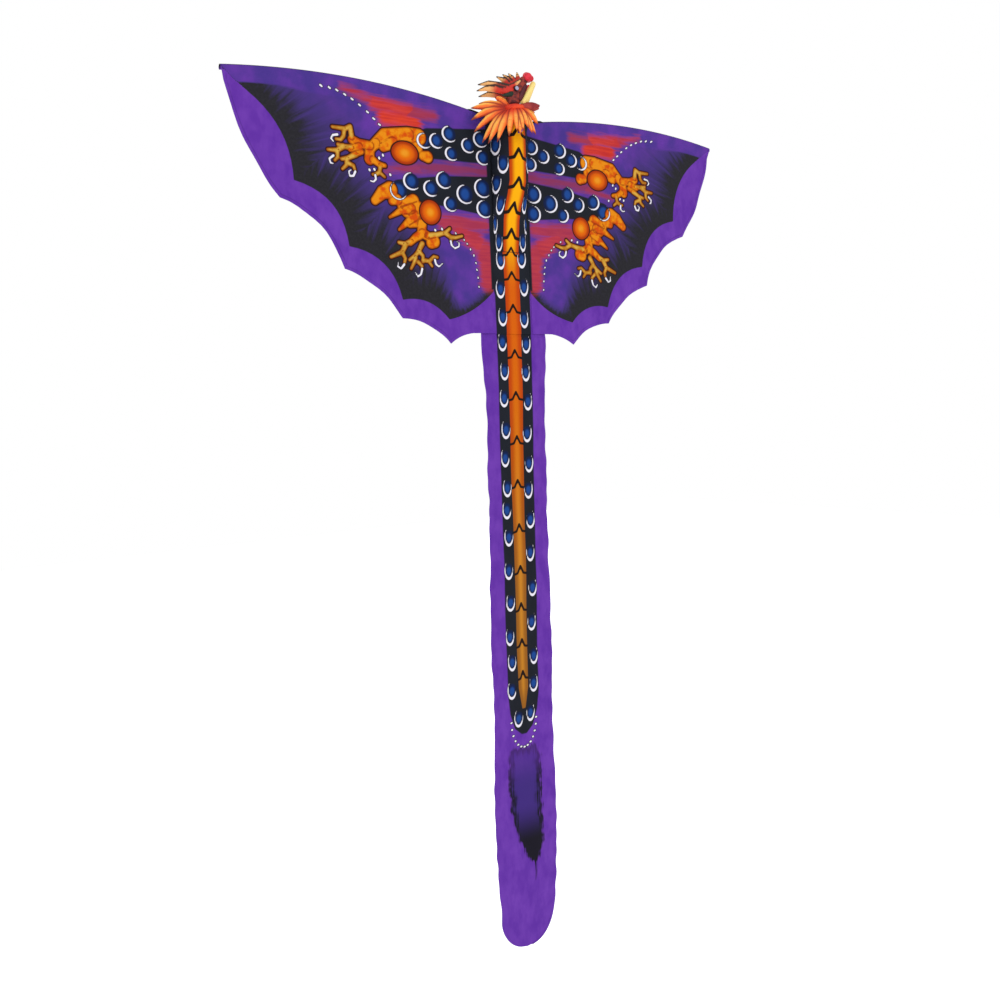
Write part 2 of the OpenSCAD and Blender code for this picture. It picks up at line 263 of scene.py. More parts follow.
LOWER_CLAW = Claw(
    ball=(181, -163, 22, 22),
    lobes=[([(216, -145), (240, -156)], 12, 11), ([(264, -130), (280, -136), (297, -152)], 15, 8),
           ([(206, -158), (232, -166)], 13, 11), ([(203, -180), (226, -186)], 12, 9),
           ([(250, -146), (262, -150)], 10, 7), ([(222, -160), (244, -165), (268, -179)], 10, 2.6),
           ([(215, -172), (232, -186), (250, -200)], 10, 2.6),
           ([(200, -185), (202, -202), (190, -207)], 10, 9), ([(175, -216), (182, -219)], 12, 11),
           ([(200, -203), (216, -212), (228, -222)], 9, 6)],
    toes=[([(190, -207), (168, -203), (150, -198), (140, -190)], 6, 2.8),
          ([(150, -199), (138, -206), (128, -206), (113, -202)], 4.4, 2.4),
          ([(139, -206), (138, -214)], 3, 2.4),
          ([(202, -222), (212, -238), (219, -245), (231, -253)], 5, 2.8),
          ([(210, -236), (202, -244), (202, -255)], 4, 2.6),
          ([(202, -252), (190, -253), (183, -262)], 4, 2.4),
          ([(188, -253), (178, -244), (170, -245)], 3.4, 2.4),
          ([(218, -248), (222, -258), (229, -269)], 4, 2.4),
          ([(226, -220), (238, -225), (252, -223)], 5.4, 3),
          ([(238, -226), (246, -240), (270, -250)], 5, 2.8),
          ([(246, -241), (240, -251), (243, -261)], 4, 2.4),
          ([(213, -256), (205, -263), (206, -269)], 3.6, 2.4)],
    nails=[[(139, -213), (137, -221), (130, -226), (121, -222), (120, -216), (125, -213)],
           [(176, -250), (174, -258), (168, -262), (159, -256)],
           [(205, -268), (208, -278), (215, -283), (220, -276)],
           [(243, -262), (250, -270), (257, -267), (256, -259)]])

ARM_SCALES = [(187, -34, 13), (160, -31, 13), (131, -15, 14), (128, -51, 12), (89, -31, 13), (60, -16, 14),
              (56, -50, 13), (217, -110, 15), (176, -119, 14), (147, -101, 15), (134, -144, 13),
              (101, -123, 17), (60, -108, 17), (58, -147, 16)]
BIG_SCALE = (246, -129, 16)
# Rows of white dots: their places, then the slant in degrees, half length and half width of each dab.
DOT_ROWS = [
    ([(390, 34), (374, 33), (360, 31), (345, 26), (331, 20), (317, 12), (302, 2), (290, -8), (279, -17)],
     30, 2.0, 1.6),
    ([(127, -198), (109, -209), (102, -216), (95, -226), (88, -237), (84, -251), (82, -264), (80, -279),
      (79, -296)], 70, 0.9, 1.6),
    ([(157, -192), (172, -195), (275, -70), (283, -76), (294, -97), (304, -99), (262, -103)], 70, 0.9, 2.0)]
# Red dry-brush strokes: path, the half widths at both ends, and how much violet shows through.
RED_STROKES = [([(205, -4), (268, -2)], 15, 17, 0.0), ([(165, 14), (215, 12)], 10, 14, 0.7),
               ([(215, 14), (290, 20)], 14, 13, 0.15), ([(290, 22), (352, 38)], 10, 4, 0.4),
               ([(45, -76), (200, -82)], 11, 11, 1.0), ([(200, -84), (272, -98)], 10, 6, 0.8),
               ([(60, -178), (150, -180)], 14, 18, 0.6), ([(120, -192), (78, -214)], 16, 20, 0.4),
               ([(62, -225), (58, -288)], 20, 18, 0.5)]


def blank(shape: Tuple[int, ...]) -> Fields:
    """Paint fields with nothing painted.

    Args:
        shape: Shape of the grid that is painted.

    Returns:
        A field for each kind of paint.
    """
    far = ("arm", "white", "claw", "fold", "red", "belly", "ink", "tuft", "seam")
    fields = {name: np.full(shape, FAR) for name in far}
    fields.update({name: np.zeros(shape) for name in ("blue", "tone", "rtone", "rim")})
    fields["dark"] = np.full(shape, -FAR)
    fields["ball"] = np.full(shape, 9.0)
    return fields


def stamp(fields: Fields, name: str, shape: Array) -> None:
    """Add a painted shape to a field that holds the distance to the nearest one."""
    fields[name] = np.minimum(fields[name], shape)


def wing_fields(x: Array, z: Array, jitter: float) -> Fields:
    """The paint of one wing.

    Args:
        x: Distance out from the kite's middle.
        z: Up positions.
        jitter: Moves the feet a little, since each wing was painted by hand.

    Returns:
        The paint fields at those places.
    """
    f = blank(x.shape)
    edge, f["rim"] = rim_of(x, z, BORDER)
    f["dark"] = edge / (0.14 + 0.86 * smooth(x, 112, 190))
    f["seam"] = np.abs(rim_of(x, z, HEM)[0] - HEM_FOLD)
    tip = smooth(x, 400, 500)
    under_edge = np.clip((z - bow_at(x) + 34 - 9 * tip) / (20 - 15 * tip), 0, 1)
    narrowed = f["dark"] * (1 + 0.55 * smooth(x, 350, 490)) + 190 * under_edge
    f["dark"] = np.where(edge > 0, narrowed, f["dark"])
    stamp(f, "arm", np.where(z > -300, x - 49, FAR))
    stamp(f, "arm", brush(x, z, [(30, -27), (176, -38)], 33, 27))
    stamp(f, "arm", brush(x, z, [(40, -123), (150, -122), (243, -128)], 38, 18))
    sx, sz = x - jitter, z + jitter * 1.6
    for claw in (UPPER_CLAW, LOWER_CLAW):
        bx, bz, rx, rz = claw.ball
        stamp(f, "ball", np.hypot((sx - bx) / rx, (sz - bz) / rz))
        for strokes, tone, extra in ((claw.lobes, 1.0, 0.4), (claw.toes, 0.0, 0.8)):
            for path, r_from, r_to in strokes:
                d = brush(sx, sz, path, r_from + extra, r_to + extra)
                stamp(f, "fold", np.abs(d + 1) + np.where(f["claw"] < -3, 0, 9))
                f["tone"] = np.where(d < f["claw"], tone, f["tone"])
                stamp(f, "claw", d)
        for path in claw.nails:
            stamp(f, "white", brush(sx, sz, path, 2.1, 1.0))
    for cx, cz, r in ARM_SCALES:
        deep = 1 - np.hypot((x - cx) / (r + 1), (z - cz) / r)
        f["blue"] = np.maximum(f["blue"], deep * (0.45 + 0.75 * smooth(x - cx, -r, r * 0.3)))
        stamp(f, "white", crescent(x, z, (cx, cz), (r + 2, r), -25, 118, 1.9))
    cx, cz, r = BIG_SCALE
    f["blue"] = np.maximum(f["blue"], 1.25 * (1 - np.hypot(x - cx, z - cz) / (r + 1)))
    stamp(f, "white", crescent(x, z, (cx, cz), (r + 1, r), -50, 110, 1.3))
    for dots, slant, half, wide in DOT_ROWS:
        dx, dz = half * math.cos(math.radians(slant)), half * math.sin(math.radians(slant))
        for cx, cz in dots:
            stamp(f, "white", brush(x, z, [(cx - dx, cz - dz), (cx + dx, cz + dz)], wide, wide))
    for path, r_from, r_to, tone in RED_STROKES:
        d = brush(x, z, path, r_from, r_to)
        f["rtone"] = np.where(d < f["red"], tone, f["rtone"])
        stamp(f, "red", d)
    return f


# Heights of the belly's marks and of the two rows of painted scales, from the throat down the tail.
BELLY_MARKS = [-3, -45, -99, -143, -191, -225, -272, -336, -425, -508, -596, -684, -773, -858, -934, -1008,
               -1074]
LEFT_ROW = [-36, -72, -108, -146, -182, -216, -250, -306, -360, -409, -466, -519, -582, -638, -698, -742,
            -797, -864, -929, -999, -1051, -1109, -1170]
RIGHT_ROW = [-30, -66, -104, -140, -178, -212, -245, -300, -363, -413, -469, -527, -591, -652, -705, -766,
             -833, -905, -976, -1046, -1103, -1163]
NECK_FOOT = -240  # the scales above this height are the large ones on the neck


def lean_at(z: Array) -> Array:
    """How far the hanging tail stands to one side at each height."""
    return np.minimum(np.asarray(z, float) - TAIL_TOP, 0) * LEAN


def body_fields(x: Array, z: Array, on_neck: bool = False) -> Fields:
    """The painted body: black back, belly stripe, belly marks and rows of scales, then the tail's tuft.

    Args:
        x: Across positions, flat.
        z: Up positions.
        on_neck: Whether this is the cover of the stuffed neck.

    Returns:
        The paint fields at those places.
    """
    f = blank(x.shape)
    across = x - lean_at(z)
    half_black = np.interp(-z, [0, 290, 310, 700, 1110, 1150, 1182, 1196],
                           [48, 47, 42, 40, 38, 33, 22, 6])
    f["arm"] = np.maximum(np.abs(across) - half_black, -(z + 1196))
    half_belly = np.interp(-z, [0, 200, 300, 700, 1100, 1143], [22.5, 20.5, 18, 15, 12, 4])
    f["belly"] = np.maximum(np.abs(across) - half_belly, -(z + 1143))
    for mark in BELLY_MARKS:
        wide = np.interp(-mark, [0, 200, 300, 1100], [22.5, 20.5, 18, 12])
        tall = 9 if mark > -200 else 8
        thick = 3.2 if mark > -200 else 2.3
        half = [(wide, mark - tall), (wide * 0.5, mark - tall * 0.8), (wide * 0.2, mark + tall * 0.3)]
        peak = [(-a, b) for a, b in half] + [(0, mark + tall)] + half[::-1]
        stamp(f, "ink", brush(across, z, peak, thick, thick))
    f["ink"] = np.maximum(f["ink"], f["belly"] - 3)
    for rows, sign in ((LEFT_ROW, -1), (RIGHT_ROW, 1)):
        for i, row in enumerate(rows):
            large = row > NECK_FOOT
            if large and not on_neck:
                continue
            even, odd, rx, rz = (53, 36, 12, 19) if large else (26, 29, 9.6, 18)
            cx = sign * (odd if i % 2 else even) * (1 - 0.5 * float(smooth(-row, 1135, 1172)))
            cz = row + rz * 0.55
            deep = np.hypot((across - cx) / rx, (z - cz) / rz)
            f["blue"] = np.maximum(f["blue"], 1.15 * (1.02 - deep) * smooth(z - cz, rz * 0.95, -rz * 0.3))
            face = -90 + sign * 16
            stamp(f, "white", crescent(across, z, (cx, cz), (rx, rz), face, 132, 2.1))
    for t in np.linspace(-math.pi / 2, math.pi / 2, 13):
        cx, cz = 31 * math.sin(t), -1168 - 56 * math.cos(t)
        stamp(f, "white", brush(across, z, [(cx - 1, cz), (cx + 1, cz)], 1.9, 1.9))
    middle = np.interp(-z, [1230, 1350, 1440, 1500], [-3, 1, 16, 22])
    tuft = np.interp(-z, [1215, 1250, 1350, 1410, 1440, 1466, 1474, 1510], [34, 46, 43, 36, 28, 14, 3, 1])
    off = across - middle
    jag = 5 * np.abs(((z + 9 * np.sin(z / 23) + 11 * np.sign(off)) / 17) % 1 - 0.5)
    jag += 8 * np.abs(((z + 5 * np.sign(off)) / 37) % 1 - 0.5)
    ragged = 16 * np.abs(((off + 4 * np.sin(off / 9)) / 17) % 1 - 0.5)
    f["tuft"] = np.maximum(np.abs(off) - tuft + jag * smooth(tuft, 2, 12), -(z + 1510))
    f["tuft"] = np.maximum(f["tuft"], z + 1219 + ragged)
    return f


# ---------------------------------------------------------------- materials


def linear(code: str) -> Tuple[float, float, float, float]:
    """Turn an sRGB hex colour into a linear one."""
    parts = [int(code[i:i + 2], 16) / 255 for i in (1, 3, 5)]
    return tuple(p / 12.92 if p <= 0.04045 else ((p + 0.055) / 1.055) ** 2.4 for p in parts) + (1.0,)


def cells(size_mm: float) -> float:
    """How many cells of that size go to a metre, as a noise's scale."""
    return 1 / (size_mm * MM)


@dataclass(frozen=True)
class Step:
    """One kind of step in a material: its node, the inputs that it is given in order, and its output."""

    kind: str
    inputs: Tuple[Union[int, str], ...] = ()
    output: Union[int, str] = 0
    settings: Tuple[Tuple[str, str], ...] = ()


STEPS = {
    "field": Step("ShaderNodeAttribute", output="Fac"),
    "place": Step("ShaderNodeTexCoord", output="Object"),
    "height": Step("ShaderNodeSeparateXYZ", (0,), "Z"),
    "join": Step("ShaderNodeCombineXYZ", ("X", "Y")),
    "stretch": Step("ShaderNodeMapping", ("Vector", "Scale")),
    "noise": Step("ShaderNodeTexNoise", ("Vector", "Scale", "Detail"), "Fac"),
    "band": Step("ShaderNodeMapRange", ("Value", "From Min", "From Max"), "Result",
                 (("interpolation_type", "SMOOTHSTEP"),)),  # 0 at the first number, 1 at the second
    "mix": Step("ShaderNodeMix", (0, 6, 7), 2, (("data_type", "RGBA"),)),  # factor, under, over
    "age": Step("ShaderNodeHueSaturation", ("Color", "Saturation", "Value")),
    "bump": Step("ShaderNodeBump", ("Height", "Distance", "Strength")),
}
STEPS.update({name.lower(): Step("ShaderNodeMath", (0, 1), 0, (("operation", name),))
              for name in ("ADD", "SUBTRACT", "MULTIPLY", "MAXIMUM")})


class Shader:
    """A material's node tree, built one node at a time."""

    def __init__(self, name: str, rough: float, specular: float = 0.3) -> None:
        self.material = bpy.data.materials.new(name)
        self.material.use_nodes = True
        self.tree = self.material.node_tree
        self.surface = self.tree.nodes["Principled BSDF"]
        self.surface.inputs["Specular IOR Level"].default_value = specular
        self.surface.inputs["Roughness"].default_value = rough

    def add(self, step: str, *values: Value, **settings: str) -> Socket:
        """Add the node of one step with its settings, values and links.

        Args:
            step: Which of the steps.
            *values: What its inputs are set or linked to, in order.
            **settings: More of the node's own properties.

        Returns:
            The step's output.
        """
        made = STEPS[step]
        node = self.tree.nodes.new(made.kind)
        for key, value in (*made.settings, *settings.items()):
            setattr(node, key, value)
        for key, value in zip(made.inputs, values):
            self.fill(node.inputs[key], value)
        return node.outputs[made.output]

    def fill(self, socket: Socket, value: Value) -> None:
        """Set an input, or link it to another node's output.

        Args:
            socket: The input.
            value: A number, a vector, a hex colour, the name of a paint field or an output.
        """
        if isinstance(value, str) and not value.startswith("#"):
            value = self.add("field", attribute_name=value)
        if isinstance(value, bpy.types.NodeSocket):
            self.tree.links.new(value, socket)
        else:
            socket.default_value = linear(value) if isinstance(value, str) else value

    def colour(self, value: Value) -> "Shader":
        """Give the surface its colour."""
        self.fill(self.surface.inputs["Base Color"], value)
        return self

    def relief(self, height: Socket, depth_mm: float) -> "Shader":
        """Give the surface a fine relief of that depth."""
        self.fill(self.surface.inputs["Normal"], self.add("bump", height, depth_mm * MM, 0.6))
        return self

    def lay(self, under: Value, over: Value, value: Value, low: float, high: float) -> Socket:
        """Lay one colour over another by a value: none of it at low, all of it at high."""
        return self.add("mix", self.add("band", value, low, high), under, over)

    def uneven(self, noise: Socket, reach: float) -> Socket:
        """Turn noise into a push to both sides, half of the reach each way."""
        return self.add("multiply", self.add("subtract", noise, 0.5), reach)


@dataclass(frozen=True)
class PaintedNylon:
    """Thin woven nylon, dyed violet and painted by brush, one layer of paint over another.

    Nylon of this weight is matt with a faint thread relief; brush paint leaves dry, streaky edges.
    """

    violet: Tuple[str, str] = ("#6339A0", "#7447AE")
    membrane: Tuple[str, str] = ("#4C3A8A", "#67409F")
    indigo: str = "#463776"
    black: Tuple[str, str] = ("#242328", "#2B2A30")
    red: Tuple[str, str] = ("#C8402A", "#E4532F")
    red_on_violet: str = "#8C3A58"
    back: Tuple[str, str] = ("#14161C", "#20242E")
    blue: Tuple[str, str] = ("#131F45", "#2A4C90")
    outline: str = "#17131C"
    white: str = "#EFECF6"
    blotch_mm: float = 36.0  # cloth that takes the dye unevenly
    patch_mm: float = 13.0  # dabs of paint on the feet
    thread_mm: float = 1.1  # four threads together, as one alone is too fine to show

    def material(self) -> bpy.types.Material:
        """Lay the ground, the painted bodies, the feet and the white lines over each other."""
        s = Shader("painted nylon cloth", 0.75, specular=0.1)
        at = s.add("place")
        soft = s.add("noise", at, cells(self.blotch_mm), 3)
        tone = self.ground(s, at, soft)
        tone = s.lay(tone, s.add("mix", soft, *self.back), "arm", 2.2, -1.0)
        tone = self.tuft(s, at, tone)
        scale = s.lay(*self.blue, "blue", 0.2, 0.7)
        tone = s.lay(tone, scale, "blue", 0.0, 0.14)
        tone = self.belly(s, tone)
        tone = self.feet(s, at, tone)
        tone = s.lay(tone, self.outline, "white", 1.7, 0.6)
        tone = s.lay(tone, self.white, "white", 0.5, -0.5)
        stitches = s.add("multiply", s.add("band", "seam", 1.3, 0.3), 0.4)
        tone = s.add("mix", stitches, tone, "#3B2168")
        # Darken the whole cloth's colour evenly: painted shade in place of less lamp light.
        tone = s.add("age", tone, 1.05, 0.8)
        return s.colour(tone).relief(s.add("noise", at, cells(self.thread_mm), 2), 0.12).material

    def ground(self, s: "Shader", at: Socket, soft: Socket) -> Socket:
        """Violet hem with painted crease shade and light, the painted membrane with its black fringe, and
        the red dry-brush strokes.

        Args:
            s: The material's shader.
            at: The piece's own coordinates.
            soft: Broad noise that the uneven dye follows.

        Returns:
            The colour under everything else.
        """
        grain = s.add("noise", at, cells(4), 2)
        flat = s.add("join", s.add("multiply", "rim", 0.16), s.add("multiply", "dark", 0.012))
        streak = s.add("noise", flat, 1.0, 2)
        # Streaks of painted crease shade and light, long up the cloth, lighten and darken the violet
        # together with the uneven dye.
        crease_shade = s.add("noise", s.add("stretch", at, (70, 70, 34)), 1.0, 5)
        blotch = s.add("add", s.add("band", soft, 0.3, 0.75), s.add("band", crease_shade, 0.35, 0.65))
        tone = s.add("mix", s.add("multiply", blotch, 0.5), *self.violet)
        inner = s.lay(*self.membrane, soft, 0.3, 0.75)
        indigo = s.add("band", s.add("add", "dark", s.add("multiply", streak, 60)), 210, 100)
        tone = s.lay(tone, s.add("mix", indigo, inner, self.indigo), "dark", -1, 1)
        edge = s.add("add", "dark", s.uneven(streak, 120))
        black = s.add("multiply", s.add("band", edge, 104, 26), s.add("band", "dark", -1.2, 0.8))
        tone = s.add("mix", black, tone, s.lay(*self.black, grain, 0.3, 0.8))
        swipe = s.add("noise", s.add("stretch", at, (18, 18, 190)), 1.0, 2)
        dry = s.add("add", "red", s.uneven(swipe, 24))
        stroke = s.add("band", dry, 7, -10)
        red = s.lay(*self.red, swipe, 0.3, 0.7)
        red = s.add("mix", "rtone", red, self.red_on_violet)
        return s.add("mix", s.add("multiply", stroke, 0.9), tone, red)

    def tuft(self, s: "Shader", at: Socket, tone: Socket) -> Socket:
        """The fur painted near the tail's end: streaky, thin at its top and black at its foot.

        Args:
            s: The material's shader.
            at: The piece's own coordinates.
            tone: The colour so far.

        Returns:
            The colour with this layer on it.
        """
        height = s.add("height", at)
        hair = s.add("noise", s.add("stretch", at, (300, 40, 22)), 1.0, 3)
        thin = s.add("multiply", s.add("band", height, -1.31, -1.235), 0.4)
        low = s.add("band", height, -1.34, -1.425)
        ragged = s.add("add", "tuft", s.uneven(hair, 26))
        cover = s.add("multiply", s.add("band", ragged, 2.5, -5), s.add("subtract", 1.0, thin))
        depth = s.add("add", "tuft", s.add("multiply", hair, 34))
        coat = s.add("mix", s.add("maximum", s.add("band", depth, -4, 13), low), "#43307A", "#15121F")
        return s.add("mix", cover, tone, coat)

    def belly(self, s: "Shader", tone: Socket) -> Socket:
        """The belly stripe, yellow at the throat and ochre down the tail, with its dark marks.

        Args:
            s: The material's shader.
            tone: The colour so far.

        Returns:
            The colour with this layer on it.
        """
        height = s.add("height", s.add("place"))
        skin = s.lay("#CC8A3C", "#D8682C", height, -0.95, -0.3)
        skin = s.lay(skin, "#FBB232", height, -0.3, -0.18)
        rim = s.lay("#96602C", "#C24A20", height, -0.95, -0.4)
        skin = s.lay(rim, skin, "belly", -3, -15)
        tone = s.lay(tone, skin, "belly", 0.8, -0.8)
        return s.lay(tone, "#1C100C", "ink", 0.8, -0.6)

    def feet(self, s: "Shader", at: Socket, tone: Socket) -> Socket:
        """The clawed feet with their folds, and the round ball on each.

        Args:
            s: The material's shader.
            at: The piece's own coordinates.
            tone: The colour so far.

        Returns:
            The colour with this layer on it.
        """
        flesh = s.lay("#EA9A40", "#DE6A2C", "ball", 0.1, 0.6)
        flesh = s.lay(flesh, "#A83C1C", "ball", 0.55, 0.95)
        dabs = s.add("band", s.add("noise", at, cells(self.patch_mm), 3), 0.36, 0.6)
        toes, lobes = s.add("mix", dabs, "#C08A3A", "#D8AC52"), s.add("mix", dabs, "#D2521C", "#E8923A")
        foot = s.add("mix", "tone", toes, lobes)
        foot = s.lay(foot, "#8A3A16", "claw", -4.0, 0.2)
        folds = s.add("multiply", s.add("band", "fold", 2.4, 0.6), 0.75)
        foot = s.add("mix", folds, foot, "#8E2F14")
        tone = s.lay(tone, "#2A1210", "claw", 2.8, 1.2)
        tone = s.lay(tone, foot, "claw", 0.3, -0.6)
        tone = s.lay(tone, "#34140F", "ball", 1.16, 1.08)
        return s.lay(tone, flesh, "ball", 1.03, 0.97)


@dataclass(frozen=True)
class RuffCloth:
    """Brushed cotton flames, painted wet into wet from red through orange to yellow, with a painted
    highlight on each flame's upper side, painted shade under it and painted shade in the grooves between
    flames.
    """

    root: str = "#D23218"
    body: str = "#E96E28"
    top_highlight: str = "#F2B652"
    shade: str = "#B23A1C"
    tip: str = "#7A2A1C"
    groove_shade: str = "#8A1E12"
    blot_mm: float = 11.0
    nap_mm: float = 3.3  # the nap of the cloth, seen as a soft unevenness

    def material(self) -> bpy.types.Material:
        """Colour by the way along and across each flame."""
        s = Shader("painted ruff cloth", 0.65)
        at = s.add("place")
        body = s.lay(self.root, self.body, "along", 0.12, 0.55)
        # Painted highlight: each flame's upper side turns yellow, as if lit from above.
        crown = s.add("multiply", s.add("band", "across", 0.05, 0.7), s.add("band", "along", 0.25, 0.6))
        body = s.add("mix", crown, body, self.top_highlight)
        # Painted shade on each flame's underside.
        under = s.add("multiply", s.add("band", "across", -0.1, -0.75), s.add("band", "along", 0.1, 0.4))
        body = s.add("mix", under, body, self.shade)
        end = s.add("add", "along", s.uneven(s.add("noise", at, cells(self.blot_mm), 3), 0.2))
        body = s.lay(body, self.tip, end, 0.84, 0.97)
        # Painted shade in the grooves where two flames meet.
        shade_in_grooves = s.add("multiply", s.add("band", "groove_shade", 0.66, 0.95), 0.85)
        body = s.add("mix", shade_in_grooves, body, self.groove_shade)
        return s.colour(body).relief(s.add("noise", at, cells(self.nap_mm), 3), 0.4).material


@dataclass(frozen=True)
class HornFlame:
    """Stiffened felt flames, tan with a red root and brushed black-brown edges, and painted shade in the
    groove between them.
    """

    root: str = "#BE2A1E"
    body: str = "#E3A868"
    edge: str = "#2A160E"
    groove_shade: str = "#34140E"
    blot_mm: float = 7.0

    def material(self) -> bpy.types.Material:
        """Colour by the way along and across each flame, in uneven brush marks."""
        s = Shader("painted horn flame", 0.6)
        blot = s.add("noise", s.add("place"), cells(self.blot_mm), 2)
        edge = s.add("add", "across", s.uneven(blot, 1.1))
        body = s.lay(self.root, self.body, "along", 0.3, 0.62)
        body = s.lay(body, self.edge, edge, 0.0, 0.5)
        # Painted shade in the groove between the two flames.
        body = s.lay(body, self.groove_shade, "groove_shade", 0.7, 0.95)
        return s.colour(s.lay(body, self.edge, "along", 0.86, 0.98)).material


@dataclass(frozen=True)
class TwoTone:
    """A paint, a moulding or a cloth of two near tones in soft blots."""

    name: str
    low: str
    high: str
    rough: float
    blot_mm: float = 16.7
    relief_mm: float = 0.05

    def material(self) -> bpy.types.Material:
        """Mix the two tones, with a relief as fine as the blots allow."""
        s = Shader(self.name, self.rough)
        at = s.add("place")
        blot = s.add("noise", at, cells(self.blot_mm), 3)
        fine = s.add("noise", at, cells(self.blot_mm / 6), 3)
        s.colour(s.lay(self.low, self.high, blot, 0.35, 0.65))
        return s.relief(fine, self.relief_mm).material


@dataclass(frozen=True)
class EyePaint:
    """Gloss enamel: dark, with a light grey spot where it faces the way it looks, by the direction from its
    middle.
    """

    pupil: str = "#1B1720"
    white: str = "#9D9BB4"

    def material(self) -> bpy.types.Material:
        """Colour by how nearly a place faces the way the eye looks."""
        s = Shader("glossy eye paint", 0.25)
        return s.colour(s.lay(self.pupil, self.white, "pupil", 0.55, 0.7)).material


@dataclass(frozen=True)
class Bamboo:
    """Split and rounded bamboo: fine fibres along it, a low sheen and soft brown blotches."""

    fibre: Tuple[str, str] = ("#C29A5A", "#DDBE83")
    blotch: str = "#A97F46"
    blotch_mm: float = 55.0

    def material(self) -> bpy.types.Material:
        """Streaks along Z and across it by fibres of about 3 mm, as one fibre is too fine to show."""
        s = Shader("split bamboo", 0.45)
        at = s.add("place")
        streak = s.add("noise", s.add("stretch", at, (300, 300, 14)), 1.0, 3)
        tone = s.lay(*self.fibre, streak, 0.3, 0.7)
        tone = s.lay(tone, self.blotch, s.add("noise", at, cells(self.blotch_mm), 3), 0.5, 0.8)
        return s.colour(tone).relief(streak, 0.2).material


@dataclass(frozen=True)
class Brass:
    """Stamped brass, a little dull from handling."""

    tones: Tuple[str, str] = ("#B58A3C", "#D3AA58")
    tarnish_mm: float = 2.5

    def material(self) -> bpy.types.Material:
        """Metal with faint tarnish."""
        s = Shader("brass", 0.32)
        s.surface.inputs["Metallic"].default_value = 1.0
        tarnish = s.add("noise", s.add("place"), cells(self.tarnish_mm), 3)
        return s.colour(s.add("mix", tarnish, *self.tones)).material


# ---------------------------------------------------------------- mesh helpers


def mesh_grid(name: str, points: Array, fields: Fields, material: bpy.types.Material,
              around: bool = False, flip: bool = False) -> bpy.types.Object:
    """A cloth grid from rows of points.

    Args:
        name: The piece's name.
        points: Rows by columns by 3, in mm.
        fields: Paint fields, rows by columns, stored on the vertices.
        material: Its material.
        around: Whether each row closes on itself, and the first and last rows are capped.
        flip: Turns the faces over.

    Returns:
        The object, at the origin with its place in its mesh.
    """
    rows, cols = points.shape[:2]
    index = np.arange(rows * cols).reshape(rows, cols)
    right = np.roll(index, -1, axis=1)
    if not around:
        index, right = index[:, :-1], right[:, :-1]
    quads = np.stack([index[:-1], right[:-1], right[1:], index[1:]], -1).reshape(-1, 4)
    if flip:
        quads = quads[:, ::-1]
    faces = quads.tolist()
    if around:
        first, last = list(range(cols)), list(range((rows - 1) * cols, rows * cols))
        faces += [first if flip else first[::-1], last[::-1] if flip else last]
    mesh = bpy.data.meshes.new(name)
    mesh.from_pydata((points.reshape(-1, 3) * MM).tolist(), [], faces)
    for key, values in fields.items():
        layer = mesh.attributes.new(key, "FLOAT", "POINT")
        layer.data.foreach_set("value", np.ascontiguousarray(values, np.float32).ravel())
    mesh.materials.append(material)
    mesh.polygons.foreach_set("use_smooth", [len(f) == 4 for f in faces])
    mesh.update()
    piece = bpy.data.objects.new(name, mesh)
    bpy.context.scene.collection.objects.link(piece)
    LOG.info("%s: %d points", name, rows * cols)
    return piece


def cloth_area(points: Array) -> float:
    """Area of a grid of cloth.

    Args:
        points: Its points, rows by columns by 3, in mm.

    Returns:
        The area in square metres.
    """
    a, b, c, d = points[:-1, :-1], points[:-1, 1:], points[1:, 1:], points[1:, :-1]
    doubled = np.linalg.norm(np.cross(b - a, c - a), axis=-1)
    doubled += np.linalg.norm(np.cross(c - a, d - a), axis=-1)
    return float(doubled.sum() / 2) * MM * MM


Chain = Tuple[Sequence[Sequence[float]], Sequence[float]]


def rounded(path: Sequence[Sequence[float]], radii: Sequence[float]) -> List[Tuple[Vector, float]]:
    """Close points along a form, with a round end at both ends.

    Args:
        path: The form's path, in mm.
        radii: Its radius at each point of the path.

    Returns:
        Places in mm and the radius at each.
    """
    points = [Vector(p) for p in path]
    spots = []
    for a, b, ra, rb in zip(points, points[1:], radii, radii[1:]):
        spots += [(a.lerp(b, t), ra + (rb - ra) * t) for t in (0, 0.25, 0.5, 0.75)]
    spots.append((points[-1], radii[-1]))
    ends = []
    for here, there, r in ((points[0], points[1], radii[0]), (points[-1], points[-2], radii[-1])):
        out = (here - there).normalized()
        ends.append([(here + out * r * math.sin(a), r * math.cos(a)) for a in (0.4, 0.8, 1.15, 1.5)])
    return ends[0][::-1] + spots + ends[1]


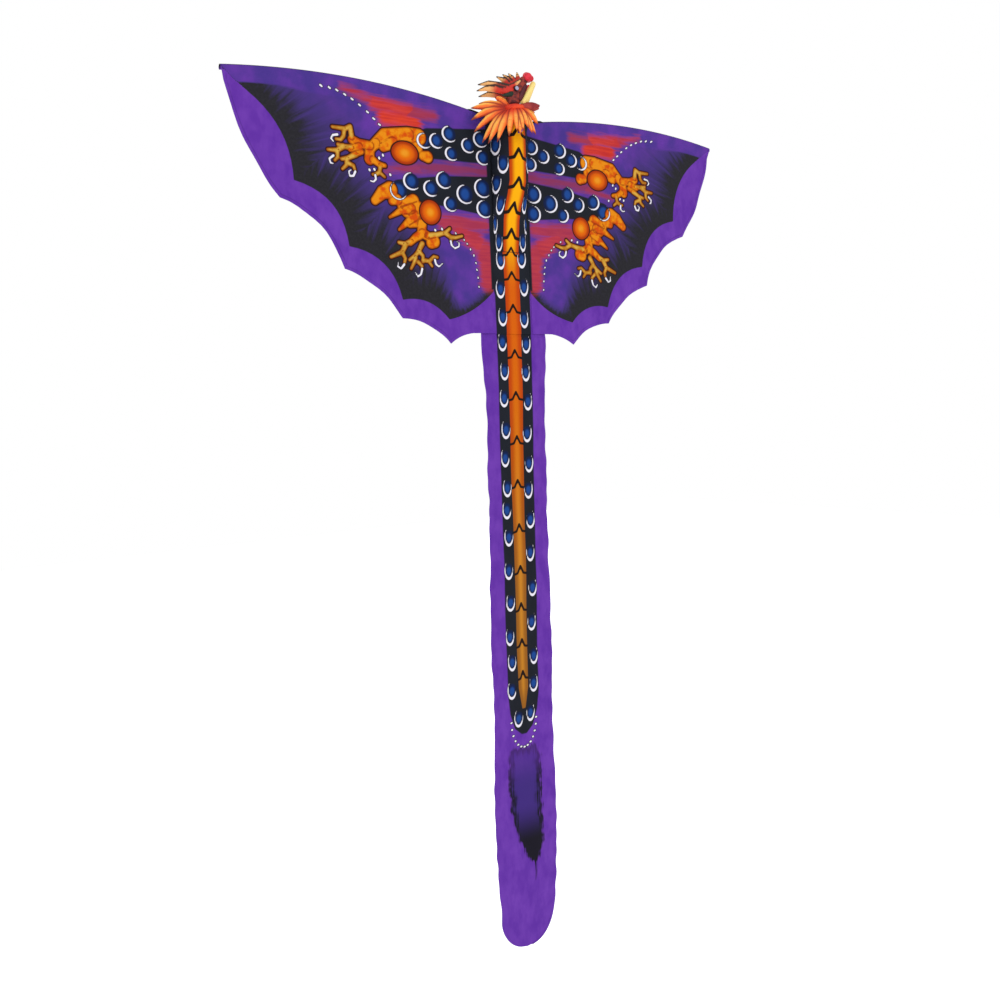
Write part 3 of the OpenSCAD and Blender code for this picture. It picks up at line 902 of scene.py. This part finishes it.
def modelled(name: str, chains: Sequence[Chain], material: bpy.types.Material, voxel: float = 0.9,
             relax: int = 4) -> bpy.types.Object:
    """Round forms run together from bevelled curves.

    Args:
        name: The piece's name.
        chains: For each form its path, in mm, and the radii at the path's points.
        material: Its material.
        voxel: Size of the cells that run the forms together, in mm.
        relax: Passes of smoothing.

    Returns:
        The object with its modifiers applied, "along" and "across" fields of each form, and a field that
        drives painted shade in the grooves between forms.
    """
    bpy.ops.object.select_all(action="DESELECT")
    curve = bpy.data.curves.new(name, "CURVE")
    curve.dimensions, curve.bevel_depth, curve.bevel_resolution = "3D", MM, 5
    curve.use_fill_caps = True
    for path, radii in chains:
        spots = rounded(path, radii)
        spline = curve.splines.new("POLY")
        spline.points.add(len(spots) - 1)
        for point, (spot, radius) in zip(spline.points, spots):
            point.co = (*(spot * MM), 1)
            point.radius = radius
    piece = bpy.data.objects.new(name, curve)
    bpy.context.scene.collection.objects.link(piece)
    piece.select_set(True)
    bpy.context.view_layer.objects.active = piece
    bpy.ops.object.convert(target="MESH")
    piece = bpy.context.object
    remesh = piece.modifiers.new("run together", "REMESH")
    remesh.mode, remesh.voxel_size = "VOXEL", voxel * MM
    bpy.ops.object.modifier_apply(modifier=remesh.name)
    relaxed = piece.modifiers.new("relax", "SMOOTH")
    relaxed.factor, relaxed.iterations = 0.6, relax
    bpy.ops.object.modifier_apply(modifier=relaxed.name)
    bpy.ops.object.shade_smooth()
    piece.name = piece.data.name = name
    piece.data.materials.append(material)
    mark_forms(piece, chains)
    LOG.info("%s: %d faces", name, len(piece.data.polygons))
    return piece


def mark_forms(piece: bpy.types.Object, chains: Sequence[Chain]) -> None:
    """Store how far along its nearest form each vertex is, on which side of it, and how near a second form
    lies, for painted shade in the grooves.

    Args:
        piece: The piece that was run together.
        chains: The forms it was made from.
    """
    spots = np.empty(len(piece.data.vertices) * 3)
    piece.data.vertices.foreach_get("co", spots)
    spots = spots.reshape(-1, 3) / MM
    best, along, across = np.full(len(spots), 1e9), np.zeros(len(spots)), np.zeros(len(spots))
    forms = []
    for path, radii in chains:
        own = np.full(len(spots), 1e9)
        path = np.array(path, float)
        total = np.linalg.norm(np.diff(path, axis=0), axis=1).sum()
        done = 0.0
        for a, b, ra, rb in zip(path, path[1:], radii, radii[1:]):
            leg = np.linalg.norm(b - a)
            t = np.clip((spots - a) @ (b - a) / leg**2, 0, 1)
            off = spots - a - t[:, None] * (b - a)
            d = np.linalg.norm(off, axis=1) / (ra + (rb - ra) * t)
            near = d < best
            own = np.minimum(own, d)
            best = np.where(near, d, best)
            along = np.where(near, (done + t * leg) / total, along)
            across = np.where(near, off[:, 2] / (ra + (rb - ra) * t), across)
            done += leg
        forms.append(own)
    ranked = np.sort(np.array(forms), axis=0)
    # How near a second form lies: it drives painted shade in the grooves between forms.
    groove_shade = ranked[0] / np.maximum(ranked[1], 1e-6) if len(forms) > 1 else np.zeros(len(spots))
    groove_shade = np.where(along > 0.12, groove_shade, 0)
    for key, values in (("along", along), ("across", across), ("groove_shade", groove_shade)):
        layer = piece.data.attributes.new(key, "FLOAT", "POINT")
        layer.data.foreach_set("value", values.astype(np.float32))


# ---------------------------------------------------------------- the kite


def fit(piece: bpy.types.Object, body: str, slot: str, *nodes: str) -> None:
    """Make a piece follow one body, and let it stand for CAD nodes.

    Args:
        piece: The piece.
        body: The body that it rides on.
        slot: The record's material slot; not used.
        *nodes: The CAD nodes that it stands for, if any.
    """
    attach(piece, body)
    if nodes:
        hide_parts(*nodes)


@dataclass
class Sail:
    """The painted cloth: a chest strip on the spine, two wings and a ribbon tail."""

    cloth: bpy.types.Material
    cell: float = 2.5  # size of a cloth cell in mm
    sleeve_r: float = 4.6  # radius of the cloth that goes round a spar
    tube_r: float = 6.8  # and round the joining tube
    chest_top: float = 29.0
    chest_foot: float = -385.5
    lap: float = 2.5  # how far the chest reaches under a wing
    tail_lap: float = 8.0  # and the tail under the hem

    def chest(self) -> None:
        """The strip behind the neck, which the stick is lashed to."""
        z = np.arange(self.chest_top, self.chest_foot - 0.1, -self.cell)
        z[-1] = self.chest_foot
        x = np.linspace(-FOLD_X - self.lap, FOLD_X + self.lap, 44)
        x, z = np.meshgrid(x, z)
        ripple = 0.5 * np.sin(x / 19 + z / 43) * smooth(np.abs(x), 5, 20) * smooth(np.abs(x), 44, 38)
        ripple += 0.9 * smooth(np.abs(x), 43, 45.5)
        over_tube = 7.2 * smooth(z, 6, 16)
        points = np.stack([x, SAIL_Y + ripple - over_tube, z], -1)
        piece = mesh_grid("chest_cloth", points, body_fields(x, z), self.cloth, flip=True)
        fit(piece, "frame", "sail_cloth", "chest_panel")

    def wing(self, side: Side) -> None:
        """One wing with the sleeve that its spar lies in.

        Args:
            side: Which wing.
        """
        steps = np.arange(FOLD_X, TIP_X - 3, self.cell)
        hem_cusps = [478, 364, 251, 150, 96]
        cusps = hem_cusps + [46.5, TIP_X - 1.6, TIP_X]
        x = np.unique(np.concatenate([steps, cusps]))
        arc = bow_at(x)
        sleeved = smooth(x, 45.4, 46.6)
        bare = 14 + (x - FOLD_X) * 0.24  # the sloping top edge inside the sleeve's inner end
        top = sleeved * (arc - self.sleeve_r) + (1 - sleeved) * bare
        radius = np.interp(x, [46, 84, 90], [self.tube_r, self.tube_r, self.sleeve_r])
        hem = hem_z(x)
        deepest = 430.0
        v = np.linspace(0, 1, int(deepest / self.cell))[:, None]
        z_flat = top + (hem - top) * v
        x_flat = np.broadcast_to(x, z_flat.shape)
        run = np.abs(z_flat - hem)
        wave = 1.9 * np.sin(x_flat / 13 + z_flat / 29) * np.exp(-run / 26)
        wave += 0.9 * np.sin(x_flat / 41 - z_flat / 57) * smooth(run, 0, 60)
        wave *= smooth(top - z_flat, 0, 30) * smooth(x_flat, 46, 60)
        y_flat = SAIL_Y + wave - (radius - 1) * sleeved * smooth(top - z_flat, 14, 0)
        turns = np.linspace(math.radians(-125), math.radians(215), 15)[:-1][:, None]
        height = np.maximum(radius * sleeved, 0.02)
        z_wrap = arc * sleeved + top * (1 - sleeved) + height * np.sin(turns)
        y_wrap = SAIL_Y + height * np.cos(turns)
        x_wrap = np.broadcast_to(x, z_wrap.shape)
        xs = np.concatenate([x_wrap, x_flat])
        ys = np.concatenate([y_wrap, y_flat])
        zs = np.concatenate([z_wrap, z_flat])
        fields = wing_fields(xs, zs, 2.0 if side is Side.RIGHT else 0.0)
        # The upper half of the sleeve's wrap is coloured with the dark body paint.
        edge_dark = np.concatenate([smooth(z_wrap - arc, -1, 3.2), np.zeros_like(z_flat)])
        fields["arm"] = np.minimum(fields["arm"], np.where(edge_dark > 0.5, -3, FAR))
        points = np.stack([xs * side.value, ys, zs], -1)
        name = side.name.lower()
        piece = mesh_grid(f"{name}_wing_cloth", points, fields, self.cloth, flip=side is Side.RIGHT)
        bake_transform(piece)
        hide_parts(f"{name}_wing_panel", f"{name}_edge_sleeve")
        area = cloth_area(points)
        LOG.info("%s wing cloth: %.4f square metres", name, area)

    def tail(self) -> None:
        """The ribbon tail, one strip across each fold line."""
        for i in range(TAIL_COUNT):
            top = TAIL_TOP + self.tail_lap if i == 0 else TAIL_TOP - TAIL_STEP * (i - 0.5)
            foot = TAIL_END if i == TAIL_COUNT - 1 else TAIL_TOP - TAIL_STEP * (i + 0.5)
            rows = int((top - foot) / self.cell)
            z = np.linspace(top, foot, rows)[:, None]
            u = np.linspace(-1, 1, 60)[None, :]
            left, right = tail_edges(z)
            x = (left + right) / 2 + u * (right - left) / 2
            z = np.broadcast_to(z, x.shape)
            near_edge = np.abs(u) ** 3
            wave = near_edge * (0.9 * np.sin(z / 8 + 2 * np.sin(z / 57) + np.sign(u))
                                + 1.2 * np.sin(z / 27 + 3 * np.sin(z / 133) + u * 2))
            wave += 0.9 * np.sin(z / 39 + 2 * np.sin(z / 211) + u * 0.8) * (1 - near_edge)
            wave += 0.5 * np.sin(x / 9 + z / 31) * (1 - near_edge)
            fade = smooth(-z, 388, 430)
            behind = 1.2 * smooth(z, -396, -386)
            points = np.stack([x, SAIL_Y + wave * fade + behind, z], -1)
            name = f"tail_cloth_{i + 1}"
            fields = body_fields(x, z)
            fields["seam"] = np.abs(np.minimum(x - left, right - x) - HEM_FOLD)
            piece = mesh_grid(name, points, fields, self.cloth, flip=True)
            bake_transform(piece)
            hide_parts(f"tail_{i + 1}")
            cloth_area(points)


def tail_edges(z: Array) -> Tuple[Array, Array]:
    """The tail's left and right edges at each height, with the small waves of its hem.

    Args:
        z: Heights.

    Returns:
        The two edges' places across.
    """
    half = np.interp(-z, [386, 408, 514, 711, 909, 1112, 1315, 1440, 1525, 1646],
                     [78, 79, 73, 71, 76, 74, 77, 77, 72, 66])
    round_end = np.sqrt(np.clip(1 - ((-z - 1576) / 70.6) ** 2, 0.0, 1))
    half = half * np.where(-z > 1576, np.maximum(round_end, 0.02), 1)
    middle = lean_at(z)
    left = middle - half - 0.5 * np.sin(z / 9 + 3 * np.sin(z / 70)) - 1.1 * np.sin(z / 53 + 2)
    right = middle + half + 0.5 * np.sin(z / 10 + 3 * np.sin(z / 83)) + 1.1 * np.sin(z / 61)
    return left, right


@dataclass
class Trimmings:
    """The pocket for the stick's foot and the tab that holds the tow eyelet."""

    cloth: bpy.types.Material
    seam: float = 4.0  # width of the pocket's sewn edge in mm
    slack: float = 0.9  # room in mm between a cap and the cloth round it
    welt: float = 0.9  # width of the flat rim of the tow loop
    overlap: float = 1.6  # how far the eyelet's rim covers the cloth

    def pocket(self) -> None:
        """A strip of cloth that bulges over the stick's capped foot, sewn to the sail on three sides."""
        low, high = (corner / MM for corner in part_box("spine_pocket"))
        cap_low, cap_high = (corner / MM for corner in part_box("spine_foot_cap"))
        reach = (cap_high.x - cap_low.x) / 2 + self.slack
        x = np.linspace(low.x - self.seam, high.x + self.seam, 56)[None, :]
        z = np.linspace(high.z, low.z - self.seam, 40)[:, None]
        rise = cap_high.y + self.slack - low.y
        across = np.clip(1 - (np.abs(x) / (reach + 2.2)) ** 3, 0, 1) ** 0.55
        down = smooth(z, low.z - self.seam * 0.4, low.z + 7)
        pucker = 0.35 * np.sin(z / 1.7) * smooth(np.abs(x), reach, reach + 3)
        y = low.y + 0.35 + rise * across * down + np.abs(pucker)
        x, z = np.broadcast_to(x, y.shape), np.broadcast_to(z, y.shape)
        points = np.stack([x, y, z], -1)
        piece = mesh_grid("foot_pocket", points, {}, self.cloth)
        fit(piece, "frame", "edge_cloth", "spine_pocket")
        area = cloth_area(points)

    def tab(self) -> None:
        """A doubled loop of cloth that comes out of the throat, turned round the eyelet."""
        low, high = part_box("tow_tab")
        eye_low, eye_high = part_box("tow_eyelet")
        radius, thick = -low.z, high.x - low.x
        hole, welt = (eye_high.z - eye_low.z) / 2 - self.overlap * MM, self.welt * MM
        bpy.ops.object.select_all(action="DESELECT")
        bpy.ops.mesh.primitive_cylinder_add(vertices=72, radius=radius, depth=thick,
                                            rotation=(0, math.pi / 2, 0))
        piece = bpy.context.object
        piece.name = piece.data.name = "tow_loop"
        bpy.ops.object.transform_apply(location=True, rotation=True, scale=True)
        bpy.ops.object.mode_set(mode="EDIT")
        bpy.ops.mesh.select_mode(type="FACE")
        self.pick_faces(piece)
        bpy.ops.mesh.inset(thickness=welt, use_individual=True)
        bpy.ops.mesh.inset(thickness=radius - hole - welt, use_individual=True)
        bpy.ops.mesh.bridge_edge_loops()
        bpy.ops.object.mode_set(mode="OBJECT")
        for vertex in piece.data.vertices:
            spot = vertex.co
            out = math.hypot(spot.y, spot.z)
            if spot.y > 1e-6 and out > hole + 0.5 * MM:
                inner = radius - out
                spot.y = high.y - inner * 0.2
                spot.z = math.copysign(min(abs(spot.z) / out * radius, radius - inner), spot.z)
        bevel = piece.modifiers.new("soft edge", "BEVEL")
        bevel.width, bevel.segments, bevel.limit_method = 0.5 * MM, 3, "ANGLE"
        bpy.ops.object.modifier_apply(modifier=bevel.name)
        bpy.ops.object.shade_smooth_by_angle(angle=math.radians(50))
        piece.data.materials.clear()
        piece.data.materials.append(self.cloth)
        LOG.info("tow_loop: %d faces", len(piece.data.polygons))
        fit(piece, "frame", "edge_cloth", "tow_tab")

    @staticmethod
    def pick_faces(piece: bpy.types.Object) -> None:
        """Select the two round faces of a disc that lies across X.

        Args:
            piece: The disc, in edit mode.
        """
        bpy.ops.mesh.select_all(action="DESELECT")
        bpy.ops.object.mode_set(mode="OBJECT")
        for face in piece.data.polygons:
            face.select = abs(face.normal.x) > 0.9
        bpy.ops.object.mode_set(mode="EDIT")


@dataclass
class Neck:
    """The stuffed half-round neck with its round throat."""

    cloth: bpy.types.Material
    half_w: float = 39.5
    back_y: float = 47.2
    throat_r: float = 18.5
    columns: int = 96

    def height_at(self, z: Array) -> Array:
        """How far the neck stands in front of the sail at each height."""
        return np.interp(-z, [-10, 95, 120, 143, 165, 190, 226], [39, 37, 26, 13, 6, 3.4, 0.7])

    def build(self) -> None:
        """Model the neck as rings that change from a half round to a round throat."""
        z = np.concatenate([np.linspace(37, -100, 70), np.linspace(-102, -226, 60)])[:, None]
        turn = np.linspace(0, 2 * math.pi, self.columns, endpoint=False)[None, :]
        high = self.height_at(z)
        front = np.cos(turn)
        pucker = 0.7 * np.sin(z / 3.1) * np.exp(-((np.abs(np.sin(turn)) - 1) / 0.08) ** 2)
        dx = (self.half_w + pucker) * np.sin(turn)
        dy = self.back_y - np.where(front > 0, high * np.maximum(front, 0) ** 0.85, 0)
        quilt = 0.8 * np.sin(z / 21) * np.maximum(front, 0)
        throat = smooth(z, -6, 24)
        tx, ty = self.throat_r * np.sin(turn), HEAD_Y - self.throat_r * np.cos(turn)
        x = dx * (1 - throat) + tx * throat
        y = (dy + quilt) * (1 - throat) + ty * throat
        z = np.broadcast_to(z, x.shape)
        to_side = 44 / 60  # mm of paint to each degree round the neck
        arc = np.degrees(np.where(turn > math.pi, turn - 2 * math.pi, turn)) * to_side
        flat_x = np.clip(arc, -68, 68) * np.ones_like(z)
        fields = body_fields(flat_x, z, on_neck=True)
        fields["arm"] = np.full(z.shape, -9.0)
        points = np.stack([x, y, z], -1)
        piece = mesh_grid("neck_cloth", points, fields, self.cloth, around=True, flip=True)
        fit(piece, "frame", "neck_cloth", "neck_cover", "neck_stuffing")


def spike_chain(tip: Sequence[float], root_z: float, fat: float, cup: float) -> Chain:
    """A ruff flame from the collar to its tip, fattest before its middle and bent near the end.

    Args:
        tip: Its tip as (forward, sideways to the right wing's far side, up) from the neck's axis.
        root_z: Height of its root.
        fat: Its greatest radius.
        cup: How far its middle stands above a straight line.

    Returns:
        The path in mm and the radii.
    """
    ahead, aside, up = tip
    end = np.array([ahead * math.sin(HEAD_YAW) - aside * math.cos(HEAD_YAW),
                    HEAD_Y - ahead * math.cos(HEAD_YAW) - aside * math.sin(HEAD_YAW), up])
    flat = np.array([end[0], end[1] - HEAD_Y, 0])
    root = np.array([0, HEAD_Y, root_z]) + flat / np.linalg.norm(flat) * 9
    path, radii = [], []
    for t, r in ((0, 0.8), (0.2, 0.9), (0.42, 1.0), (0.62, 0.92), (0.8, 0.66), (0.93, 0.34), (1, 0.12)):
        lift = cup * math.sin(math.pi * t)
        path.append((root + (end - root) * t + np.array([0, 0, lift])).tolist())
        radii.append(fat * r)
    return path, radii


@dataclass(frozen=True)
class Fringe:
    """One group of ruff flames: their tips as spike_chain takes them, and what they have in common."""

    tips: List[Point]
    fat: float
    cup: float
    root_z: float


RUFF = {
    "left": Fringe([(-35, 15, 60), (-65, 30, 46), (-80, 42, 35), (-75, 45, -10), (-60, 50, -32),
                    (-31, 55, -34), (-9, 45, -22), (-80, 45, 12), (-48, 56, -36)],
                   fat=7.0, cup=5, root_z=38),
    # The jaw swings over the right-hand flames, so they start lower and lie flatter.
    "right": Fringe([(-60, -30, 50), (-52, -50, 46), (-31, -62, 44), (-5, -62, 44), (22, -54, 42),
                     (38, -36, 42)], fat=7.0, cup=2, root_z=31),
    "throat": Fringe([(6, 40, -12), (19, 36, -12), (35, 25, -15), (46, 12, 4), (45, 2, 12), (28, 31, -6),
                      (41, 20, -16), (13, 38, -20)], fat=6.0, cup=5, root_z=38),
}


@dataclass
class Ruff:
    """The fringe of stuffed cloth flames round the throat, and the collar they are sewn to."""

    flames: bpy.types.Material
    core: bpy.types.Material
    rim: bpy.types.Material
    drooping_cup: float = 9  # flames with a low tip rise more on their way to it
    band_r: float = 17.0
    band_z: float = 40.0
    band_fat: float = 5.5

    def build(self) -> None:
        """Model the three groups of flames, the maroon flange and the collar."""
        for group, fringe in RUFF.items():
            cups = [fringe.cup if tip[2] > 20 else self.drooping_cup for tip in fringe.tips]
            chains = [spike_chain(tip, fringe.root_z, fringe.fat, cup)
                      for tip, cup in zip(fringe.tips, cups)]
            piece = modelled(f"ruff_flames_{group}", chains, self.flames, voxel=1.1)
            fit(piece, "frame", "ruff_cloth", f"ruff_spikes_{group}")
        flange = [spike_chain((50, 4, 42), 41, 8.5, 1), spike_chain((48, -12, 42), 41, 8.0, 1)]
        flange = [(path[:-1], radii[:-1]) for path, radii in flange]
        lip = modelled("ruff_flange", flange, self.rim, voxel=0.9)
        fit(lip, "frame", "ruff_cloth")
        ring = [[self.band_r * math.cos(a), HEAD_Y + self.band_r * math.sin(a), self.band_z]
                for a in np.linspace(0, 2 * math.pi, 25)]
        band = modelled("ruff_band", [(ring, [self.band_fat] * len(ring))], self.core, voxel=1.1)
        fit(band, "frame", "ruff_cloth", "ruff_collar")


def head_point(p: Sequence[float]) -> List[float]:
    """Turn a point with the head.

    Args:
        p: The point in the head's own frame, in which forward is -Y.

    Returns:
        The point in the row frame.
    """
    x, y, z = p
    c, s = math.cos(HEAD_YAW), math.sin(HEAD_YAW)
    return [c * x - s * y, s * x + c * y + HEAD_Y, z]


@dataclass
class Head:
    """The head on its peg, with its jaw open and its flames laid back."""

    skin: bpy.types.Material
    flame: bpy.types.Material
    jaw: bpy.types.Material
    mouth: bpy.types.Material
    tongue: bpy.types.Material
    nose: bpy.types.Material
    cheek: bpy.types.Material
    eye: bpy.types.Material

    def part(self, name: str, nodes: Sequence[str], chains: Sequence[Chain], finish: bpy.types.Material,
             slot: str, voxel: float = 0.8) -> bpy.types.Object:
        """Model one part of the head and let it turn with the head.

        Args:
            name: The piece's name.
            nodes: The CAD nodes that it stands for.
            chains: Its forms, in the head's own frame.
            finish: Its material.
            slot: The record's material slot.
            voxel: Size of the cells, in mm.

        Returns:
            The piece.
        """
        turned = [([head_point(p) for p in path], radii) for path, radii in chains]
        piece = modelled(name, turned, finish, voxel, relax=3)
        fit(piece, "head", slot, *nodes)
        return piece

    def build(self) -> None:
        """Model every part of the head."""
        self.part("head_skull", ["skull"], [([(0, 2, 56), (0, 2, 66)], [15, 16.5]),
                  ([(0, 8, 74), (0, -2, 80)], [12, 11])], self.skin, "head_foam")
        self.part("head_snout", ["snout"], [([(0, -2, 72), (0, -11, 83), (0, -20, 92)], [13, 11, 8.4]),
                  ([(4, -17, 94), (5, -24, 97)], [5, 4])], self.skin, "head_foam")
        chin = [([(0, -18, 51.5), (0, -23, 55), (0, -38, 84)], [6, 7.2, 5.4])]
        chin += [([(side.value * 3.5, -20, 52), (side.value * 3.5, -38, 82)], [5, 4]) for side in Side]
        self.part("head_jaw", ["lower_jaw"], chin, self.jaw, "jaw_paint")
        self.part("head_mouth", ["mouth_lining"], [([(0, -12, 60), (0, -22, 80)], [8, 6])],
                  self.mouth, "mouth_paint")
        self.part("head_tongue", ["tongue"], [([(0, -18, 62), (0, -29, 82)], [3.4, 2.2])],
                  self.tongue, "mouth_paint")
        self.part("head_nose", ["nose_ball"], [([(-4.5, -29, 97), (4.5, -29, 97)], [8, 8]),
                  ([(0, -26, 100), (0, -34, 95)], [7.4, 6])], self.nose, "nose_paint", 0.7)
        for side in Side:
            self.half(side.value, side.name.lower())
        crown = [([(0, 6, 84), (0, 16, 95), (0, 31, 103)], [8, 6, 1.3]),
                 ([(0, 2, 88), (0, 10, 99), (0, 19, 106)], [7, 4.6, 1.2]),
                 ([(0, -3, 90), (0, 2, 100), (0, 8, 107)], [6.5, 4.4, 1.2]),
                 ([(0, -10, 94), (0, -9, 102), (0, -8, 108)], [5.5, 3.6, 1.2])]
        self.part("head_crest", ["crest"], crown, self.flame, "crest_cloth", 0.7)

    def half(self, sign: int, label: str) -> None:
        """Model the eye, brow, flames and cheek of one side.

        Args:
            sign: Sign of the side's X in the head's own frame.
            label: The side's name.
        """
        ball = [([(sign * 14, -6.2, 74), (sign * 14.4, -6.6, 74)], [5, 5])]
        eye = self.part(f"head_eye_{label}", [f"{label}_eye"], ball, self.eye, "eye_paint", 0.5)
        self.mark_pupil(eye, head_point((sign * 14.2, -6.4, 74)), head_point((sign * 22, -12, 74)))
        brow = [([(sign * 15, 5, 78), (sign * 13.5, -6, 83), (sign * 9, -15, 91)], [4.2, 4.2, 2.0])]
        self.part(f"head_brow_{label}", [f"{label}_brow"], brow, self.flame, "horn_cloth", 0.6)
        upper = [(sign * 10, 6, 74), (sign * 13, 24, 80), (sign * 15, 46, 87), (sign * 15, 66, 86)]
        lower = [(sign * 12, 12, 72), (sign * 17, 34, 76), (sign * 18, 52, 77), (sign * 17, 69, 74)]
        flames = [(upper, [9.5, 8.5, 5.5, 1.2]), (lower, [8, 7, 4.8, 1.1])]
        self.part(f"head_flame_{label}", [f"{label}_horn"], flames, self.flame, "horn_cloth")
        cheek = [([head_point(p) for p in [(sign * 13, 4, 65), (sign * 17, 19, 62)]], [6, 2])]
        tuft = modelled(f"head_cheek_{label}", cheek, self.cheek, 0.7)
        fit(tuft, "head", "horn_cloth")

    @staticmethod
    def mark_pupil(eye: bpy.types.Object, centre: Sequence[float], ahead: Sequence[float]) -> None:
        """Store on an eye how nearly each vertex faces the way the eye looks.

        Args:
            eye: The eye.
            centre: Its middle, in mm.
            ahead: A point that it looks at.
        """
        middle = Vector(centre) * MM
        way = (Vector(ahead) * MM - middle).normalized()
        values = [(v.co - middle).normalized().dot(way) for v in eye.data.vertices]
        eye.data.attributes.new("pupil", "FLOAT", "POINT").data.foreach_set("value", values)


class Studio:
    """Pale floor, soft light and the camera."""

    VIEW_FROM = Vector((-1.156, -1.5408, -0.5475))
    VIEW_ALONG = Vector((0.5687, 0.8181, -0.0850))
    VIEW_UP = Vector((0.0837, 0.0452, 0.9955))

    def build(self) -> None:
        """Set up the floor, the lights, the world and the camera."""
        bpy.ops.object.select_all(action="DESELECT")
        bpy.ops.mesh.primitive_plane_add(size=16, location=(0, 0, -1.72))
        floor = bpy.context.object
        floor.name = "floor"
        floor.data.transform(floor.matrix_world)
        floor.matrix_world = Matrix.Identity(4)
        paper = Shader("pale paper", 0.95)
        paper.colour((0.86, 0.86, 0.86, 1))
        paper.surface.inputs["Emission Color"].default_value = (1, 1, 1, 1)
        paper.surface.inputs["Emission Strength"].default_value = 0.6
        floor.data.materials.append(paper.material)
        world = bpy.data.worlds.new("white room")
        world.use_nodes = True
        world.node_tree.nodes["Background"].inputs["Color"].default_value = (1, 1, 1, 1)
        world.node_tree.nodes["Background"].inputs["Strength"].default_value = 1.0
        bpy.context.scene.world = world
        self.lamp("key_light", (-1.6, -2.6, 1.6), 16, 1.2)
        camera = bpy.data.cameras.new("camera")
        camera.lens, camera.sensor_width, camera.clip_end = 35.2, 36.0, 60
        view = bpy.data.objects.new("camera", camera)
        bpy.context.scene.collection.objects.link(view)
        back = -self.VIEW_ALONG.normalized()
        right = self.VIEW_UP.cross(back).normalized()
        up = back.cross(right)
        view.matrix_world = Matrix((right, up, back)).transposed().to_4x4()
        view.location = self.VIEW_FROM
        bpy.context.scene.camera = view
        bpy.context.scene.view_settings.view_transform = "Standard"

    def lamp(self, name: str, place: Tuple[float, float, float], watts: float, size: float) -> None:
        """Add a soft square lamp that faces the sail's middle.

        Args:
            name: The lamp's name.
            place: Where it stands.
            watts: Its power.
            size: Length of its side.
        """
        light = bpy.data.lights.new(name, "AREA")
        light.energy, light.size = watts, size
        lamp = bpy.data.objects.new(name, light)
        bpy.context.scene.collection.objects.link(lamp)
        lamp.location = place
        lamp.rotation_euler = (Vector((0, 0, -0.5)) - Vector(place)).to_track_quat("-Z", "Y").to_euler()


def finish_frame() -> None:
    """Give the CAD nodes that stay in sight their finishes."""
    dressed = [
        (Bamboo(), ["spine_stick", "left_spar", "right_spar", "head_peg"]),
        (TwoTone("black vinyl cap", "#17171A", "#222226", 0.5),
         ["spine_foot_cap", "left_spar_cap", "right_spar_cap"]),
        (TwoTone("grey vinyl tube", "#54565A", "#63656A", 0.38),
         ["centre_tube", "left_tube_end", "right_tube_end"]),
        (TwoTone("waxed lashing cord", "#D9D2BE", "#EAE5D6", 0.8, 2.0), ["spine_lashing"]),
        (Brass(), ["tow_eyelet"]),
    ]
    for finish, nodes in dressed:
        material = finish.material()
        for node in nodes:
            piece = frame["nodes"][node]
            piece.data.materials.clear()
            piece.data.materials.append(material)
            LOG.info("%s: %s", node, finish)


def main() -> None:
    """Build every piece of the kite and the studio."""
    cloth = PaintedNylon().material()
    finish_frame()
    sail = Sail(cloth)
    sail.chest()
    for side in Side:
        sail.wing(side)
    sail.tail()
    trim = Trimmings(TwoTone("violet pocket cloth", "#55348F", "#6A42A4", 0.8).material())
    trim.pocket()
    trim.tab()
    Neck(cloth).build()
    Ruff(flames=RuffCloth().material(),
         core=TwoTone("red ruff core", "#C62F1A", "#E2491F", 0.7).material(),
         rim=TwoTone("maroon ruff rim", "#7E1F26", "#A23A35", 0.7).material()).build()
    Head(skin=TwoTone("dark red head paint", "#4E141A", "#8E3226", 0.6, 6.7, 0.2).material(),
         flame=HornFlame().material(),
         jaw=TwoTone("pale yellow jaw paint", "#E6C878", "#E2CE7C", 0.55, 11).material(),
         mouth=TwoTone("maroon mouth paint", "#4A1420", "#5E1A28", 0.5).material(),
         tongue=TwoTone("red tongue paint", "#A81E28", "#C22A30", 0.5).material(),
         nose=TwoTone("bright red nose paint", "#B81828", "#D42A3C", 0.5, 8.3).material(),
         cheek=TwoTone("dark green cheek paint", "#16261B", "#2B4028", 0.6).material(),
         eye=EyePaint().material()).build()
    Studio().build()


if __name__ == "__main__":
    main()
